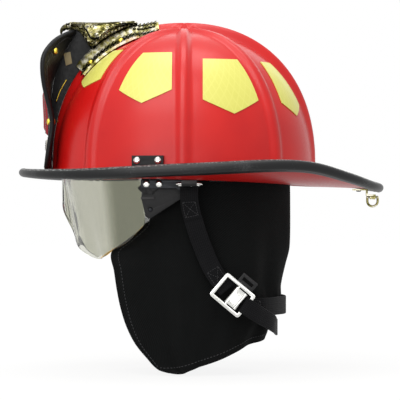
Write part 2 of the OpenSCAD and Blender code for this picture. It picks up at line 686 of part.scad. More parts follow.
// A black bracket over the brim on each side, against the dome, with two bright screws
bracket_psi = 75;
bracket_length = 33;
bracket_low_z = 3;
bracket_high_z = 15.5;
bracket_depth = 5;
module by_dome(side, out) {
    p = dome_at(bracket_psi, 8, out);
    n = unit(dome_at(bracket_psi, 0, 10) - dome_at(bracket_psi, 0, 0));
    translate([p.x, side * p.y, 0])
        rotate([0, 0, side * atan2(n.y, n.x)])
            children();
}
module side_brackets() {
    color("#121213")
        for (side = [-1, 1])
            by_dome(side, 0.8)
                difference() {
                    translate([0, -bracket_length / 2, bracket_low_z])
                        cube([bracket_depth, bracket_length, bracket_high_z - bracket_low_z]);
                    for (y = bracket_screw_y)
                        translate([-1, y, bracket_screw_z])
                            rotate([0, 90, 0])
                                cylinder(r = 1.8, h = 12, $fn = 32);
                }
}
bracket_screw_y = [-11, 11];
bracket_screw_z = 10.5;
module bracket_screws() {
    color("#d8d8d4")
        for (side = [-1, 1])
            by_dome(side, 0.8)
                for (y = bracket_screw_y)
                    translate([0, y, bracket_screw_z])
                        rotate([0, 90, 0]) {
                            translate([0, 0, -6])
                                cylinder(r = 1.75, h = bracket_depth + 7, $fn = 32);
                            translate([0, 0, bracket_depth + 0.05])
                                cylinder(r1 = 3.8, r2 = 2.6, h = 1.8, $fn = 48);
                        }
}

// The foam liner fills the dome to a few millimetres. Its front leaves room for the raised visor.
liner_gap = 7;
liner_foot_z = 4;
liner_high = dome_height - wall - liner_gap;
liner_half_length = dome_half_length - 20;
liner_half_width = 90;
liner_inside_high = liner_high - liner_thickness - 6;
visor_room = dome_half_length - 12.5;
visor_room_side = 95;
liner_psi = [for (psi = [0:7.5:359]) psi];
function cap_at(psi, s, a, b, h) = let (c = dome_share(s))
    [dome_x + a * c * cos(psi), b * c * sin(psi), liner_foot_z + (h - liner_foot_z) * s];
// Draws a point back to the room that the turning visor leaves, up to its raised place
function clear_visor(p) = let (
        turn = atan2(p.z - pivot_z, p.x - pivot_x),
        room = visor_room + 4 * ease((turn - visor_turn + 6) / 12),
        q = norm([norm([p.x - pivot_x, p.z - pivot_z]) / room, p.y / visor_room_side]),
        keep = 1 - ease((turn - visor_turn - 9) / 9),
        k = q > 1 ? 1 + (1 / q - 1) * keep : 1)
    [pivot_x + (p.x - pivot_x) * k, p.y * k, pivot_z + (p.z - pivot_z) * k];
liner_outer_shares = [0.985, 0.94, 0.87, 0.77, 0.65, 0.5, 0.33, 0.16, 0];
liner_inner_shares = [0, 0.25, 0.47, 0.66, 0.82, 0.93, 0.985];
module impact_liner() {
    outside = [for (s = liner_outer_shares) [for (psi = liner_psi)
        clear_visor(cap_at(psi, s, liner_half_length, liner_half_width, liner_high))]];
    inside = [for (s = liner_inner_shares) [for (psi = liner_psi)
        cap_at(psi, s, head_half_length, head_half_width, liner_inside_high)]];
    color("#2a2b2d")
        cap_solid(outside, inside, [dome_x, 0, liner_high], [dome_x, 0, liner_inside_high]);
}
// Solid between two domes of rings that share an open foot, with a pole each
module cap_solid(outside, inside, pole, pole_inside) {
    rows = concat(outside, inside);
    n = len(rows[0]);
    last = len(rows) - 1;
    sides = [for (i = [0:last - 1]) for (j = [0:n - 1]) let (a = 1 + i * n + j, b = 1 + i * n + (j + 1) % n)
        each [[a, b, b + n], [a, b + n, a + n]]];
    caps = [for (j = [0:n - 1]) each [[0, 1 + (j + 1) % n, 1 + j],
        [1 + (last + 1) * n, 1 + last * n + j, 1 + last * n + (j + 1) % n]]];
    polyhedron(concat([pole], flat(rows), [pole_inside]), concat(sides, caps));
}

// Three crown straps cross under the liner and share one pad at the crown. Their ends lie on the liner.
strap_fall = 3.2;
strap_seat = 1.1;
crown_strap_width = 19;
crown_strap_thickness = 1.4;
function crown_at(psi, s, across, out) = let (
        w = unit([-head_half_length * sin(psi), head_half_width * cos(psi)]),
        fall = strap_seat + (strap_fall - strap_seat) * ease((s - 0.3) * 2) - out,
        q = cap_at(psi, s, head_half_length - fall, head_half_width - fall, liner_inside_high - fall))
    [q.x + w.x * across, q.y + w.y * across, q.z];
module crown_straps() {
    shares = [for (i = [0:14]) pow(sin(12 + 78 * i / 14), 0.9)];
    color("#26282b")
        for (k = [0:2]) {
            psi = 60 * k;
            path = concat([for (i = [0:13]) [psi, shares[i], 1]], [for (i = [14:-1:0]) [psi + 180, shares[i], -1]]);
            lift = (crown_strap_thickness + 0.3) * [1, 0, 2][k];
            slab([for (q = path) [for (a = [1, -1])
                    crown_at(q[0], q[1], a * q[2] * crown_strap_width / 2, -lift * q[1])]],
                [for (q = path) [for (a = [1, -1])
                    crown_at(q[0], q[1], a * q[2] * crown_strap_width / 2, -lift * q[1] - crown_strap_thickness)]]);
        }
}
// The pad is sewn to the innermost strap at the crown
pad_thickness = 6;
pad_radius = 30;
pad_bend = 0.0078;
module crown_pad() {
    high = liner_inside_high - strap_fall - 3 * crown_strap_thickness - 0.9;
    radii = [for (i = [0:8]) i * pad_radius / 8];
    color("#1d1e20")
        translate([dome_x, 0, high])
            rotate_extrude($fn = 96)
                polygon(concat([for (r = radii) [r, -r * r * pad_bend]],
                    [for (i = [8:-1:0]) [radii[i], -radii[i] * radii[i] * pad_bend - pad_thickness]]));
}

// The headband is an upright strip round the head, a little lower at the back, where its tails
// enter the ratchet. All that it carries shares its tilt.
band_tilt = 6;
band_low_z = -4;
band_half_length = head_half_length - 5;
band_half_width = head_half_width - 5;
module in_band() {
    rotate([0, -band_tilt, 0])
        children();
}
module band_strip(a, b, from, to, thickness, low, height) {
    n = floor((to - from) / 5);
    outer = [for (i = [0:n]) let (psi = from + (to - from) * i / n) [dome_x + a * cos(psi), b * sin(psi)]];
    inner = [for (i = [n:-1:0]) let (psi = from + (to - from) * i / n)
        [dome_x + (a - thickness) * cos(psi), (b - thickness) * sin(psi)]];
    translate([0, 0, low])
        linear_extrude(height)
            polygon(concat(outer, inner));
}
module headband() {
    color("#232427")
        in_band()
            band_strip(band_half_length, band_half_width, -170, 170, band_thickness, band_low_z, band_height);
}
band_inside = band_thickness + 0.3;
module brow_pad() {
    color("#3a3634")
        in_band()
            band_strip(band_half_length - band_inside, band_half_width - band_inside, -62, 62, 4.5,
                band_low_z + 1, band_height - 2);
}
module nape_pad() {
    color("#3a3634")
        in_band()
            band_strip(band_half_length - band_inside, band_half_width - band_inside, 150, 210, 4.5,
                housing_z - 8, 18);
}

// The ratchet sits round the band's tails at the back of the head, and its knob turns about X
housing_z = band_low_z + 1;
housing_depth = 6;
housing_seat = 0.3;
housing_back = band_half_length + housing_seat + housing_depth - dome_x;
housing_height = 22;
knob_shaft = 4;
knob_depth = 6.5;
knob_gap = 0.3;
module ratchet_housing() {
    color("#161618")
        in_band()
            difference() {
                band_strip(band_half_length + housing_seat + housing_depth,
                    band_half_width + housing_seat + housing_depth, 150, 210, housing_depth,
                    housing_z - housing_height / 2, housing_height);
                translate([-housing_back - 1, 0, housing_z])
                    rotate([0, 90, 0])
                        cylinder(r = knob_shaft + pin_clearance, h = housing_depth + 3, $fn = 64);
            }
}
module ratchet_knob() {
    color("#0f0f10")
        in_band()
            translate([-housing_back - knob_gap, 0, housing_z])
                rotate([0, -90, 0])
                    difference() {
                        union() {
                            cylinder(r1 = ratchet_radius - 1, r2 = ratchet_radius - 2, h = knob_depth, $fn = 96);
                            translate([0, 0, -housing_depth + 0.5])
                                cylinder(r = knob_shaft, h = housing_depth, $fn = 64);
                            for (a = [0:20:340])
                                rotate([0, 0, a])
                                    translate([ratchet_radius - 2, 0, 0])
                                        cylinder(r = 1.6, h = knob_depth - 1, $fn = 24);
                        }
                        translate([0, 0, knob_depth - 2])
                            cylinder(r = ratchet_radius - 6, h = 3, $fn = 64);
                    }
}

// Keys carry the headband in the liner, and clips carry the liner in the shell
key_psi = [40, 140, 220, 320];
module band_keys() {
    color("#303236")
        for (psi = key_psi) {
            a = cap_at(psi, 0.06, head_half_length, head_half_width, liner_inside_high);
            way = unit([a.x - dome_x, a.y * head_half_length / head_half_width]);
            b = [dome_x + band_half_length * cos(psi), band_half_width * sin(psi)];
            length = norm([a.x - b.x, a.y - b.y]) - 3.6;
            translate([b.x, b.y, liner_foot_z + 2])
                rotate([0, 0, atan2(a.y - b.y, a.x - b.x)])
                    translate([1.9, -5, 0])
                        cube([length, 10, 10]);
        }
}
clip_psi = [106, 152, 208, 254];
module liner_clips() {
    color("#1a1b1d")
        for (psi = clip_psi) {
            a = cap_at(psi, 0.05, liner_half_length, liner_half_width, liner_high);
            b = dome_at(psi, 8, -wall);
            gap = norm([a.x - b.x, a.y - b.y]);
            translate([a.x, a.y, 0])
                rotate([0, 0, atan2(b.y - a.y, b.x - a.x)]) {
                    translate([0.5, -9, liner_foot_z + 2])
                        cube([gap - 2.6, 18, 9]);
                    translate([gap - 6.3, -9, -11])
                        cube([4, 18, liner_foot_z + 14]);
                }
        }
}

// The lap hangs from the liner's rim round the sides and back of the neck. Its front edges follow the
// lens's lower edge, the chin strap draws it in at the nape, and its cloth falls in upright folds.
lap_top = liner_foot_z - 0.4;
lap_x = -15;
lap_width_knots = [[-213, 68], [-170, 72], [-135, 76], [-100, 81], [-50, 85], [4, 86]];
lap_back_knots = [[-213, 72], [-179, 83], [-160, 92], [-140, 101], [-120, 101], [-100, 105], [-80, 110],
    [-30, 112], [4, 112]];
lap_front_knots = [[-213, 14], [-209, 27], [-196, 40], [-181, 52], [-163, 61], [-144, 67], [-124, 71],
    [-103, 73], [-88, 75], [-80, 62], [-70, 46], [-57, 42], [-20, 42], [4, 42]];
// Rise of the lower edge over its lowest place, from the middle of the back to the front corner
lap_foot_knots = [[0, 34], [0.25, 28], [0.5, 10], [0.75, 1], [0.9, 0], [1, 1]];
function lap_at(s, t, out) = let (
        side = s < 0 ? -1 : 1,
        u = abs(s),
        z = lap_top + (curve(lap_foot_knots, u) - lap_drop - lap_top) * t,
        w = curve(lap_width_knots, z),
        r = curve(lap_back_knots, z) + lap_x,
        f = curve(lap_front_knots, z),
        a = 90 * min(1, u / 0.55),
        g = max(0, (u - 0.55) / 0.45),
        bulge = lap_fold / 2 * sin(s * 1260) * ease(t * 2.2) * (1 - 0.5 * ease((abs(z + 138) < 22 ? 1 : 0)))
            * (u > 0.97 ? 0.3 : 1),
        p = [lap_x - r * cos(a) + (f - lap_x) * g, side * (w * sin(a) - 7 * g * g)],
        n = unit([-cos(a) * w, side * sin(a) * r]))
    [p.x + n.x * (bulge + out), p.y + n.y * (bulge + out), z];
lap_columns = 44;
lap_rows = 12;
module ear_lap() {
    grid_s = [for (j = [0:lap_columns]) 2 * j / lap_columns - 1];
    grid_t = [for (i = [0:lap_rows]) i / lap_rows];
    color("#131315")
        slab([for (t = grid_t) [for (s = grid_s) lap_at(-s, t, lap_thickness / 2)]],
            [for (t = grid_t) [for (s = grid_s) lap_at(-s, t, -lap_thickness / 2)]]);
}
// Snaps close the lap's top hem, through the cloth
snap_places = [-0.42, -0.21, 0, 0.21, 0.42];
module lap_snaps() {
    color("#2f3033")
        for (s = snap_places) {
            p = lap_at(s, 0.04, 0);
            q = lap_at(s, 0.04, 10);
            translate(p)
                rotate([0, 0, atan2(q.y - p.y, q.x - p.x)])
                    rotate([0, 90, 0]) {
                        translate([0, 0, -lap_thickness / 2 - 1])
                            cylinder(r = 1.5, h = lap_thickness + 2, $fn = 32);
                        translate([0, 0, lap_thickness / 2 + 0.1])
                            cylinder(r1 = 5, r2 = 3.8, h = 1.6, $fn = 48);
                    }
        }
}

// Webbing sweeps along a smooth route, flat to the head
function between(a, b, c, d, u) = ((2 * b) + (c - a) * u + (2 * a - 5 * b + 4 * c - d) * u * u
    + (3 * b - a - 3 * c + d) * u * u * u) / 2;
function smooth(p, steps) = let (n = len(p) - 1) concat(
    [for (i = [0:n - 1]) for (j = [0:steps - 1]) between(p[max(0, i - 1)], p[i], p[i + 1],
        p[min(n, i + 2)], j / steps)], [p[n]]);
module webbing(route, width, steps = 3) {
    q = smooth(route, steps);
    n = len(q) - 1;
    frames = [for (i = [0:n]) let (
            t = unit(q[min(n, i + 1)] - q[max(0, i - 1)]),
            o = unit([q[i].x - lap_x + 8, q[i].y, 0]),
            w = unit(cross(o, t)))
        [q[i], w, cross(t, w)]];
    slab([for (f = frames) [for (a = [-1, 1]) f[0] + f[1] * a * width / 2 + f[2] * strap_thickness / 2]],
        [for (f = frames) [for (a = [-1, 1]) f[0] + f[1] * a * width / 2 - f[2] * strap_thickness / 2]]);
}
// Both straps leave wire rings under the brim. The left one ends at the buckle; the right one
// goes on round the nape to the buckle, and its tail doubles back under it.
ring_x = -5;
ring_y = 108;
ring_z = -15;
ring_wire = 1.2;
ring_length = 26;
ring_reach = 6.2;
loop_drop = ring_wire + 0.3;
left_route = [[ring_x, ring_y, ring_z - loop_drop], [ring_x, ring_y - 0.5, -27], [-6.5, 103, -39],
    [-11, 98, -56], [-17, 93, -74], [-26, 88.6, -96], [-34, 86.6, -110], [-44.5, 86.3, -123.5]];
right_route = [[ring_x, -ring_y, ring_z - loop_drop], [ring_x, -ring_y + 0.5, -27], [-6.5, -103, -39],
    [-11, -98, -56], [-17, -93, -74], [-26, -89.5, -96], [-40, -88, -116], [-58, -84, -131],
    [-80, -73, -139.5], [-98, -47, -142], [-107, -16, -142.5], [-107, 16, -142.5], [-98, 47, -142],
    [-85, 70.5, -142], [-74, 79.5, -142], [-65, 84.6, -140], [-57, 86.5, -134.5]];
tail_route = [[-61, 96.3, -138.2], [-69.5, 94, -144], [-80, 85, -150.8], [-93.5, 64, -160], [-97, 28, -165], [-99, 0, -167],
    [-96, -28, -165], [-87, -52, -160]];
module chin_strap_left() {
    color("#0e0e10")
        webbing(left_route, strap_width);
}
module chin_strap_right() {
    color("#0e0e10")
        webbing(right_route, strap_width);
}
module strap_tail() {
    color("#0e0e10")
        webbing(tail_route, strap_width - 1);
}
ring_lean = 14;
module wire_ring(side) {
    bend = ring_reach / 2;
    straight = ring_length - ring_reach;
    translate([ring_x, side * ring_y, ring_z])
        rotate([side * ring_lean, 0, 0])
            translate([0, side * bend, 0]) {
                for (y = [-bend, bend])
                    translate([0, y, 0])
                        rotate([0, 90, 0])
                            cylinder(r = ring_wire, h = straight, center = true, $fn = 48);
                for (a = [-90, 90])
                    translate([a / 90 * straight / 2, 0, 0])
                        rotate([0, 0, a == 90 ? -90 : 90])
                            rotate_extrude(angle = 180, $fn = 96)
                                translate([bend, 0])
                                    circle(r = ring_wire, $fn = 48);
            }
}
module strap_ring_left() {
    color("#b8b9b6")
        wire_ring(1);
}
module strap_ring_right() {
    color("#b8b9b6")
        wire_ring(-1);
}
// Each ring's outer bar lies in a clip that is riveted under the brim
module ring_clips() {
    y = ring_y + ring_reach * cos(ring_lean);
    z = ring_z + ring_reach * sin(ring_lean);
    top = brim_at(92, 0.18, -wall).z - 0.4;
    color("#141415")
        for (side = [-1, 1])
            difference() {
                union() {
                    translate([ring_x - 8, side * y - 3, z])
                        cube([16, 6, top - z]);
                    translate([ring_x, side * y, z])
                        rotate([0, 90, 0])
                            cylinder(r = ring_wire + 1.6, h = 16, center = true, $fn = 48);
                }
                translate([ring_x, side * y, z])
                    rotate([0, 90, 0])
                        cylinder(r = ring_wire + pin_clearance, h = 30, center = true, $fn = 48);
            }
}

// The buckle lies on the left strap, turned down and back. Its lever turns on the middle bar.
buckle_at = [-50, 90.5, -129];
buckle_turn = 140;
buckle_half_length = 18;
buckle_half_width = 13.5;
buckle_wire = 1.6;
module in_buckle() {
    translate(buckle_at)
        rotate([-90, 0, 0])
            rotate([0, 0, buckle_turn])
                children();
}
module buckle_frame() {
    color("#c9c9c6")
        in_buckle() {
            difference() {
                translate([0, 0, -buckle_wire])
                    linear_extrude(2 * buckle_wire)
                        offset(r = 3, $fn = 48)
                            square([2 * buckle_half_length - 3, 2 * buckle_half_width - 3], center = true);
                translate([0, 0, -buckle_wire - 1])
                    linear_extrude(2 * buckle_wire + 2)
                        square([2 * buckle_half_length - 4, 2 * buckle_half_width - 4], center = true);
            }
            rotate([90, 0, 0])
                cylinder(r = buckle_wire, h = 2 * buckle_half_width - 3.9, center = true, $fn = 64);
        }
}
lever_half = 10;
lever_length = 10;
module buckle_lever() {
    color("#dcdcd8")
        in_buckle()
            difference() {
                union() {
                    rotate([90, 0, 0])
                        cylinder(r = buckle_wire + 1.4, h = 2 * lever_half, center = true, $fn = 48);
                    translate([0, -lever_half, buckle_wire + 0.2])
                        cube([lever_length, 2 * lever_half, 1.2]);
                    translate([lever_length, 0, buckle_wire + 1.9])
                        rotate([90, 0, 0])
                            cylinder(r = 1.7, h = 2 * lever_half, center = true, $fn = 48);
                }
                rotate([90, 0, 0])
                    cylinder(r = buckle_wire + pin_clearance, h = 2 * lever_half + 2, center = true, $fn = 48);
            }
}
module strap_keeper() {
    color("#121213")
        in_buckle()
            translate([-6, buckle_half_width + buckle_wire + 0.2, -2.5])
                difference() {
                    cube([19, 10.4, 5]);
                    translate([3, 3.5, -1])
                        cube([13, 3.4, 7]);
                }
}

outer_shell();
brim_trim();
reflective_decals();
leather_shield();
shield_centre_panel();
shield_lower_scroll();
shield_rivets();
shield_stay();
eagle_saddle();
eagle_body();
eagle_screws();
hang_plate();
hang_rivets();
hang_ring();
visor_lens();
visor_arm_left();
visor_arm_right();
visor_rivets();
visor_grips();
pivot_plate_left();
pivot_plate_right();
plate_screws();
side_brackets();
bracket_screws();
impact_liner();
crown_straps();
crown_pad();
headband();
brow_pad();
nape_pad();
ratchet_housing();
ratchet_knob();
band_keys();
liner_clips();
ear_lap();
lap_snaps();
chin_strap_left();
chin_strap_right();
strap_tail();
strap_ring_left();
strap_ring_right();
ring_clips();
buckle_frame();
buckle_lever();
strap_keeper();
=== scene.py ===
"""Traditional fire helmet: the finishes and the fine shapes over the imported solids. The meshes are in metres
and the sizes below in mm, with +X to the front, +Y to the wearer's left and +Z up."""
import bpy
import bmesh
import math
import random
import numpy as np
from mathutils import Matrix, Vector


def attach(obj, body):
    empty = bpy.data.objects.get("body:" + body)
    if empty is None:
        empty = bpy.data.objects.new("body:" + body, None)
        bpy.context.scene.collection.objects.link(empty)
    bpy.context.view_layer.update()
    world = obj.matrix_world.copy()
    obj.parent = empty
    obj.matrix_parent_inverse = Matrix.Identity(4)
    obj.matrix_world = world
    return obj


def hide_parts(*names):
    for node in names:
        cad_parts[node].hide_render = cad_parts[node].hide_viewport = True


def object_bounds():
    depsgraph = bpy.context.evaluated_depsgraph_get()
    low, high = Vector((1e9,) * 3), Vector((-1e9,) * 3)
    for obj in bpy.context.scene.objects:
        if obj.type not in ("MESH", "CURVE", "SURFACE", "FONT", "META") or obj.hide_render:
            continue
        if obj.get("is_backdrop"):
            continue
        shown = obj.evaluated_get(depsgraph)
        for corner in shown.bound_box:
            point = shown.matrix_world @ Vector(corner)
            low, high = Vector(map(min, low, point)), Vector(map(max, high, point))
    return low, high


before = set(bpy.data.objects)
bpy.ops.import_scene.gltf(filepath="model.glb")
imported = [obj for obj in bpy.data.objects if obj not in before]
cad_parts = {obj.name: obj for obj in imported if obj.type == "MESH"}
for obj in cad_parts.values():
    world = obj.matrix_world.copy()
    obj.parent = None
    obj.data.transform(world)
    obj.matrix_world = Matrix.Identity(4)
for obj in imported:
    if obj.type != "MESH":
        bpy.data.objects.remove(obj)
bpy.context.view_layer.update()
scene = bpy.context.scene
MM = 0.001
SIDES = ((1, "left"), (-1, "right"))


# Small tools

def rgb(hexa):
    """An sRGB hex colour as linear red, green, blue and a full alpha."""
    v = [int(hexa[i:i + 2], 16) / 255 for i in (1, 3, 5)]
    return [x / 12.92 if x <= 0.04045 else ((x + 0.055) / 1.055) ** 2.4 for x in v] + [1.0]


def feed(tree, node, inputs):
    """Fills a node's inputs, by name or place: a node or socket is linked, a hex colour or value is set."""
    for place, v in inputs.items():
        if isinstance(v, bpy.types.Node):
            v = next(o for o in v.outputs if o.enabled)
        if isinstance(v, bpy.types.NodeSocket):
            tree.links.new(v, node.inputs[place])
        else:
            node.inputs[place].default_value = rgb(v) if isinstance(v, str) and v.startswith("#") else v


def add(tree, kind, inputs=None, stops=(), **settings):
    """A node with its settings and inputs, and a ramp's stops of (place, hex colour or grey)."""
    n = tree.nodes.new(kind)
    for k, v in settings.items():
        setattr(n, k, v)
    feed(tree, n, inputs or {})
    for i, (place, colour) in enumerate(stops):
        stop = n.color_ramp.elements[i] if i < 2 else n.color_ramp.elements.new(place)
        stop.position = place
        stop.color = rgb(colour) if isinstance(colour, str) else (colour, colour, colour, 1)
    return n


def finish_of(name, inputs):
    """A new material with its Principled shader's inputs, as (material, tree, shader)."""
    m = bpy.data.materials.new(name)
    m.use_nodes = True
    shader = m.node_tree.nodes["Principled BSDF"]
    feed(m.node_tree, shader, inputs)
    return m, m.node_tree, shader


def mesh_object(name, verts_mm, faces, uv=None):
    """An object at the origin from points in mm. uv is one pair per vertex, in mm."""
    me = bpy.data.meshes.new(name)
    me.from_pydata([tuple(float(c) * MM for c in v) for v in verts_mm], [], [tuple(f) for f in faces])
    if uv is not None:
        layer = me.uv_layers.new(name="UVMap")
        idx = np.zeros(len(me.loops), dtype=np.int32)
        me.loops.foreach_get("vertex_index", idx)
        layer.data.foreach_set("uv", np.asarray(uv, dtype=np.float32)[idx].ravel() * MM)
    me.validate()
    me.update()
    o = bpy.data.objects.new(name, me)
    scene.collection.objects.link(o)
    me.shade_smooth()
    return o


def grid_faces(m, n, close_rows=False, close_columns=False, start=0, flip=False):
    """Faces of an m by n grid of points, row by row, counted from start."""
    out = []
    for i in range(m if close_rows else m - 1):
        row, next_row = start + i * n, start + (i + 1) % m * n
        for j in range(n if close_columns else n - 1):
            a, b, c, d = row + j, row + (j + 1) % n, next_row + (j + 1) % n, next_row + j
            out.append((a, d, c, b) if flip else (a, b, c, d))
    return out


def capped_faces(m, n, flip=False):
    """Faces of m rings of n points, closed at each end by a fan round a point that follows the rings."""
    faces = grid_faces(m, n, close_columns=True, flip=flip)
    for pole, first, turned_round in ((m * n, 0, not flip), (m * n + 1, (m - 1) * n, flip)):
        for j in range(n):
            a, b = first + j, first + (j + 1) % n
            faces.append((pole, b, a) if turned_round else (pole, a, b))
    return faces


def slab_object(name, top, under, uv=None):
    """A closed slab between two grids of points. Seen from over top, rows run down and columns right."""
    top, under = np.asarray(top, float), np.asarray(under, float)
    m, n = top.shape[:2]
    u = m * n
    faces = grid_faces(m, n, flip=True) + grid_faces(m, n, start=u)
    rim = list(range(n)) + [i * n + n - 1 for i in range(1, m)]
    rim += [(m - 1) * n + j for j in range(n - 2, -1, -1)] + [i * n for i in range(m - 2, 0, -1)]
    for a, b in zip(rim, rim[1:] + rim[:1]):
        faces.append((a, b, b + u, a + u))
    pts = np.concatenate([top.reshape(-1, 3), under.reshape(-1, 3)])
    return mesh_object(name, pts, faces, None if uv is None else np.concatenate([uv, uv]))


def settle(o):
    """Applies an object's modifiers, and leaves it a plain mesh."""
    bpy.context.view_layer.update()
    graph = bpy.context.evaluated_depsgraph_get()
    me = bpy.data.meshes.new_from_object(o.evaluated_get(graph), preserve_all_data_layers=True,
        depsgraph=graph)
    o.modifiers.clear()
    old = o.data
    o.data = me
    bpy.data.meshes.remove(old)
    return o


def merge_points(me, distance_mm, flat_degrees=None):
    """Merges a mesh's points that lie together, and drops edges that are flatter than an angle."""
    bm = bmesh.new()
    bm.from_mesh(me)
    bmesh.ops.remove_doubles(bm, verts=bm.verts, dist=distance_mm * MM)
    if flat_degrees is not None:
        bmesh.ops.dissolve_limit(bm, angle_limit=math.radians(flat_degrees), verts=bm.verts, edges=bm.edges)
    bm.to_mesh(me)
    bm.free()


def soften(o, width_mm, segments=3, angle=35, merge=True):
    """Rounds an object's edges that are sharper than an angle, and settles it."""
    if merge:
        merge_points(o.data, 0.001, flat_degrees=0.5)
    b = o.modifiers.new("round", "BEVEL")
    b.width = width_mm * MM
    b.segments = segments
    b.angle_limit = math.radians(angle)
    b.limit_method = "ANGLE"
    return smooth(settle(o))


def smooth(o, angle=40):
    """Shades an object smooth, but for the edges that are sharper than an angle."""
    o.data.shade_smooth()
    o.data.set_sharp_from_angle(angle=math.radians(angle))
    return o


def copy_of(node, name):
    """A merged copy of a CAD node's mesh as a new object."""
    o = bpy.data.objects.new(name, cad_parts[node].data.copy())
    o.data.materials.clear()
    scene.collection.objects.link(o)
    merge_points(o.data, 0.002)
    return o


def done(o, material, body="helmet", replaces=()):
    """Gives a finished piece its material, slot and body, and the CAD nodes that it stands for."""
    if material is not None:
        o.data.materials.clear()
        o.data.materials.append(material)
    if replaces:
        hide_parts(*replaces)
    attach(o, body)
    return o


def ease(t):
    """A soft step from 0 to 1, level at both its ends."""
    t = np.clip(t, 0, 1)
    return t * t * (3 - 2 * t)


def curve(knots, t):
    """A smooth curve through knots of (place, value), as in the part's source."""
    k = np.asarray(knots, float)
    x, y = k[:, 0], k[:, 1]
    slope = np.zeros(len(x))
    slope[1:-1] = (y[2:] - y[:-2]) / (x[2:] - x[:-2])
    slope[0] = (y[1] - y[0]) / (x[1] - x[0])
    slope[-1] = (y[-1] - y[-2]) / (x[-1] - x[-2])
    t = np.asarray(t, float)
    i = np.clip(np.searchsorted(x, t, side="right") - 1, 0, len(x) - 2)
    h = x[i + 1] - x[i]
    u = np.clip((t - x[i]) / h, 0, 1)
    return y[i] * (2 * u ** 3 - 3 * u ** 2 + 1) + slope[i] * h * (u ** 3 - 2 * u ** 2 + u) \
        + y[i + 1] * (3 * u ** 2 - 2 * u ** 3) + slope[i + 1] * h * (u ** 3 - u ** 2)


def unit(v):
    """Vectors brought to the length 1."""
    v = np.asarray(v, float)
    return v / np.maximum(np.linalg.norm(v, axis=-1, keepdims=True), 1e-12)


def run_of(points):
    """How far along a line of points each of them lies."""
    steps = np.linalg.norm(np.diff(np.asarray(points, float), axis=0), axis=1)
    return np.concatenate([[0], np.cumsum(steps)])


def at_run(s, run, values):
    """Points or directions at the places s, between the ones given at the places run."""
    values = np.asarray(values, float)
    return np.stack([np.interp(s, run, values[:, i]) for i in range(3)], -1)


def resampled(points, count):
    """A line through a few points, with as many points as count."""
    return at_run(np.linspace(0, len(points) - 1, count), np.arange(len(points)), points)


# Finishes. Each pattern's scale comes from the real width of what it shows.
def per_metre(width_mm):
    """The scale of a noise or cell pattern whose marks are so wide."""
    return 1000 / width_mm


def bands(spacing_mm):
    """The scale of a wave pattern whose bands are so far apart."""
    return per_metre(spacing_mm) / 20 * math.pi


def edge_wear(tree, low, high):
    """1 on worn outer edges, 0 on flat and inner places."""
    edges = add(tree, "ShaderNodeNewGeometry").outputs["Pointiness"]
    return add(tree, "ShaderNodeValToRGB", {"Fac": edges}, stops=[(low, 0.0), (high, 1.0)])


def gloss_thermoplastic():
    """Injection-moulded thermoplastic, pigmented red through: a wet gloss over the mould's faint ripple."""
    m, t, b = finish_of("red_moulded_thermoplastic", {"Base Color": "#c21414", "Roughness": 0.3,
        "Coat Weight": 0.08, "Coat Roughness": 0.2, "Specular IOR Level": 0.36})
    p = add(t, "ShaderNodeTexCoord").outputs["Object"]
    cloud = add(t, "ShaderNodeTexNoise", {"Vector": p, "Scale": per_metre(55.5), "Detail": 2})
    scuff = add(t, "ShaderNodeTexNoise", {"Vector": p, "Scale": per_metre(2.38), "Detail": 6,
        "Roughness": 0.7})
    ripple = add(t, "ShaderNodeTexNoise", {"Vector": p, "Scale": per_metre(9.1), "Detail": 1})
    reds = [(0.3, "#bf1111"), (0.7, "#cb1914")]
    feed(t, b, {
        "Base Color": add(t, "ShaderNodeValToRGB", {"Fac": cloud}, stops=reds),
        "Roughness": add(t, "ShaderNodeValToRGB", {"Fac": scuff}, stops=[(0.4, 0.33), (0.72, 0.46)]),
        "Normal": add(t, "ShaderNodeBump", {"Height": ripple, "Strength": 0.35, "Distance": 0.06 * MM})})
    return m


def vinyl_bead():
    """Extruded black vinyl edge bead: a dull sheen, a fine grain, grey dust flecks on its face, and pale
    pebbled glints along its lip, a painted highlight.
    """
    m, t, b = finish_of("black_vinyl_bead", {"Base Color": "#141516", "Roughness": 0.42,
        "Specular IOR Level": 0.3})
    p = add(t, "ShaderNodeTexCoord").outputs["Object"]
    speck = add(t, "ShaderNodeTexNoise", {"Vector": p, "Scale": per_metre(1.92), "Detail": 5,
        "Roughness": 0.75})
    blot = add(t, "ShaderNodeTexNoise", {"Vector": p, "Scale": per_metre(38.5), "Detail": 2})
    dust = add(t, "ShaderNodeMath", {0: speck, 1: blot}, operation="MULTIPLY")
    face = add(t, "ShaderNodeValToRGB", {"Fac": dust}, stops=[(0.30, "#0d0e0f"), (0.42, "#38393a")])
    # Pale pebbles along the lip: painted glints, a painted highlight on the bead's textured edge
    pebble = add(t, "ShaderNodeTexVoronoi", {"Vector": p, "Scale": per_metre(2.2)})
    crest = add(t, "ShaderNodeValToRGB", {"Fac": pebble}, stops=[(0.2, "#8b8c89"), (0.55, "#2b2c2d")])
    lip = add(t, "ShaderNodeAttribute", attribute_name="lip").outputs["Fac"]
    on_lip = add(t, "ShaderNodeValToRGB", {"Fac": lip}, stops=[(0.35, 0.0), (0.75, 1.0)])
    grain = add(t, "ShaderNodeTexNoise", {"Vector": p, "Scale": per_metre(1.11), "Detail": 3})
    feed(t, b, {
        "Base Color": add(t, "ShaderNodeMix", {0: on_lip, 6: face, 7: crest}, data_type="RGBA"),
        "Normal": add(t, "ShaderNodeBump", {"Height": grain, "Strength": 0.5, "Distance": 0.12 * MM})})
    return m


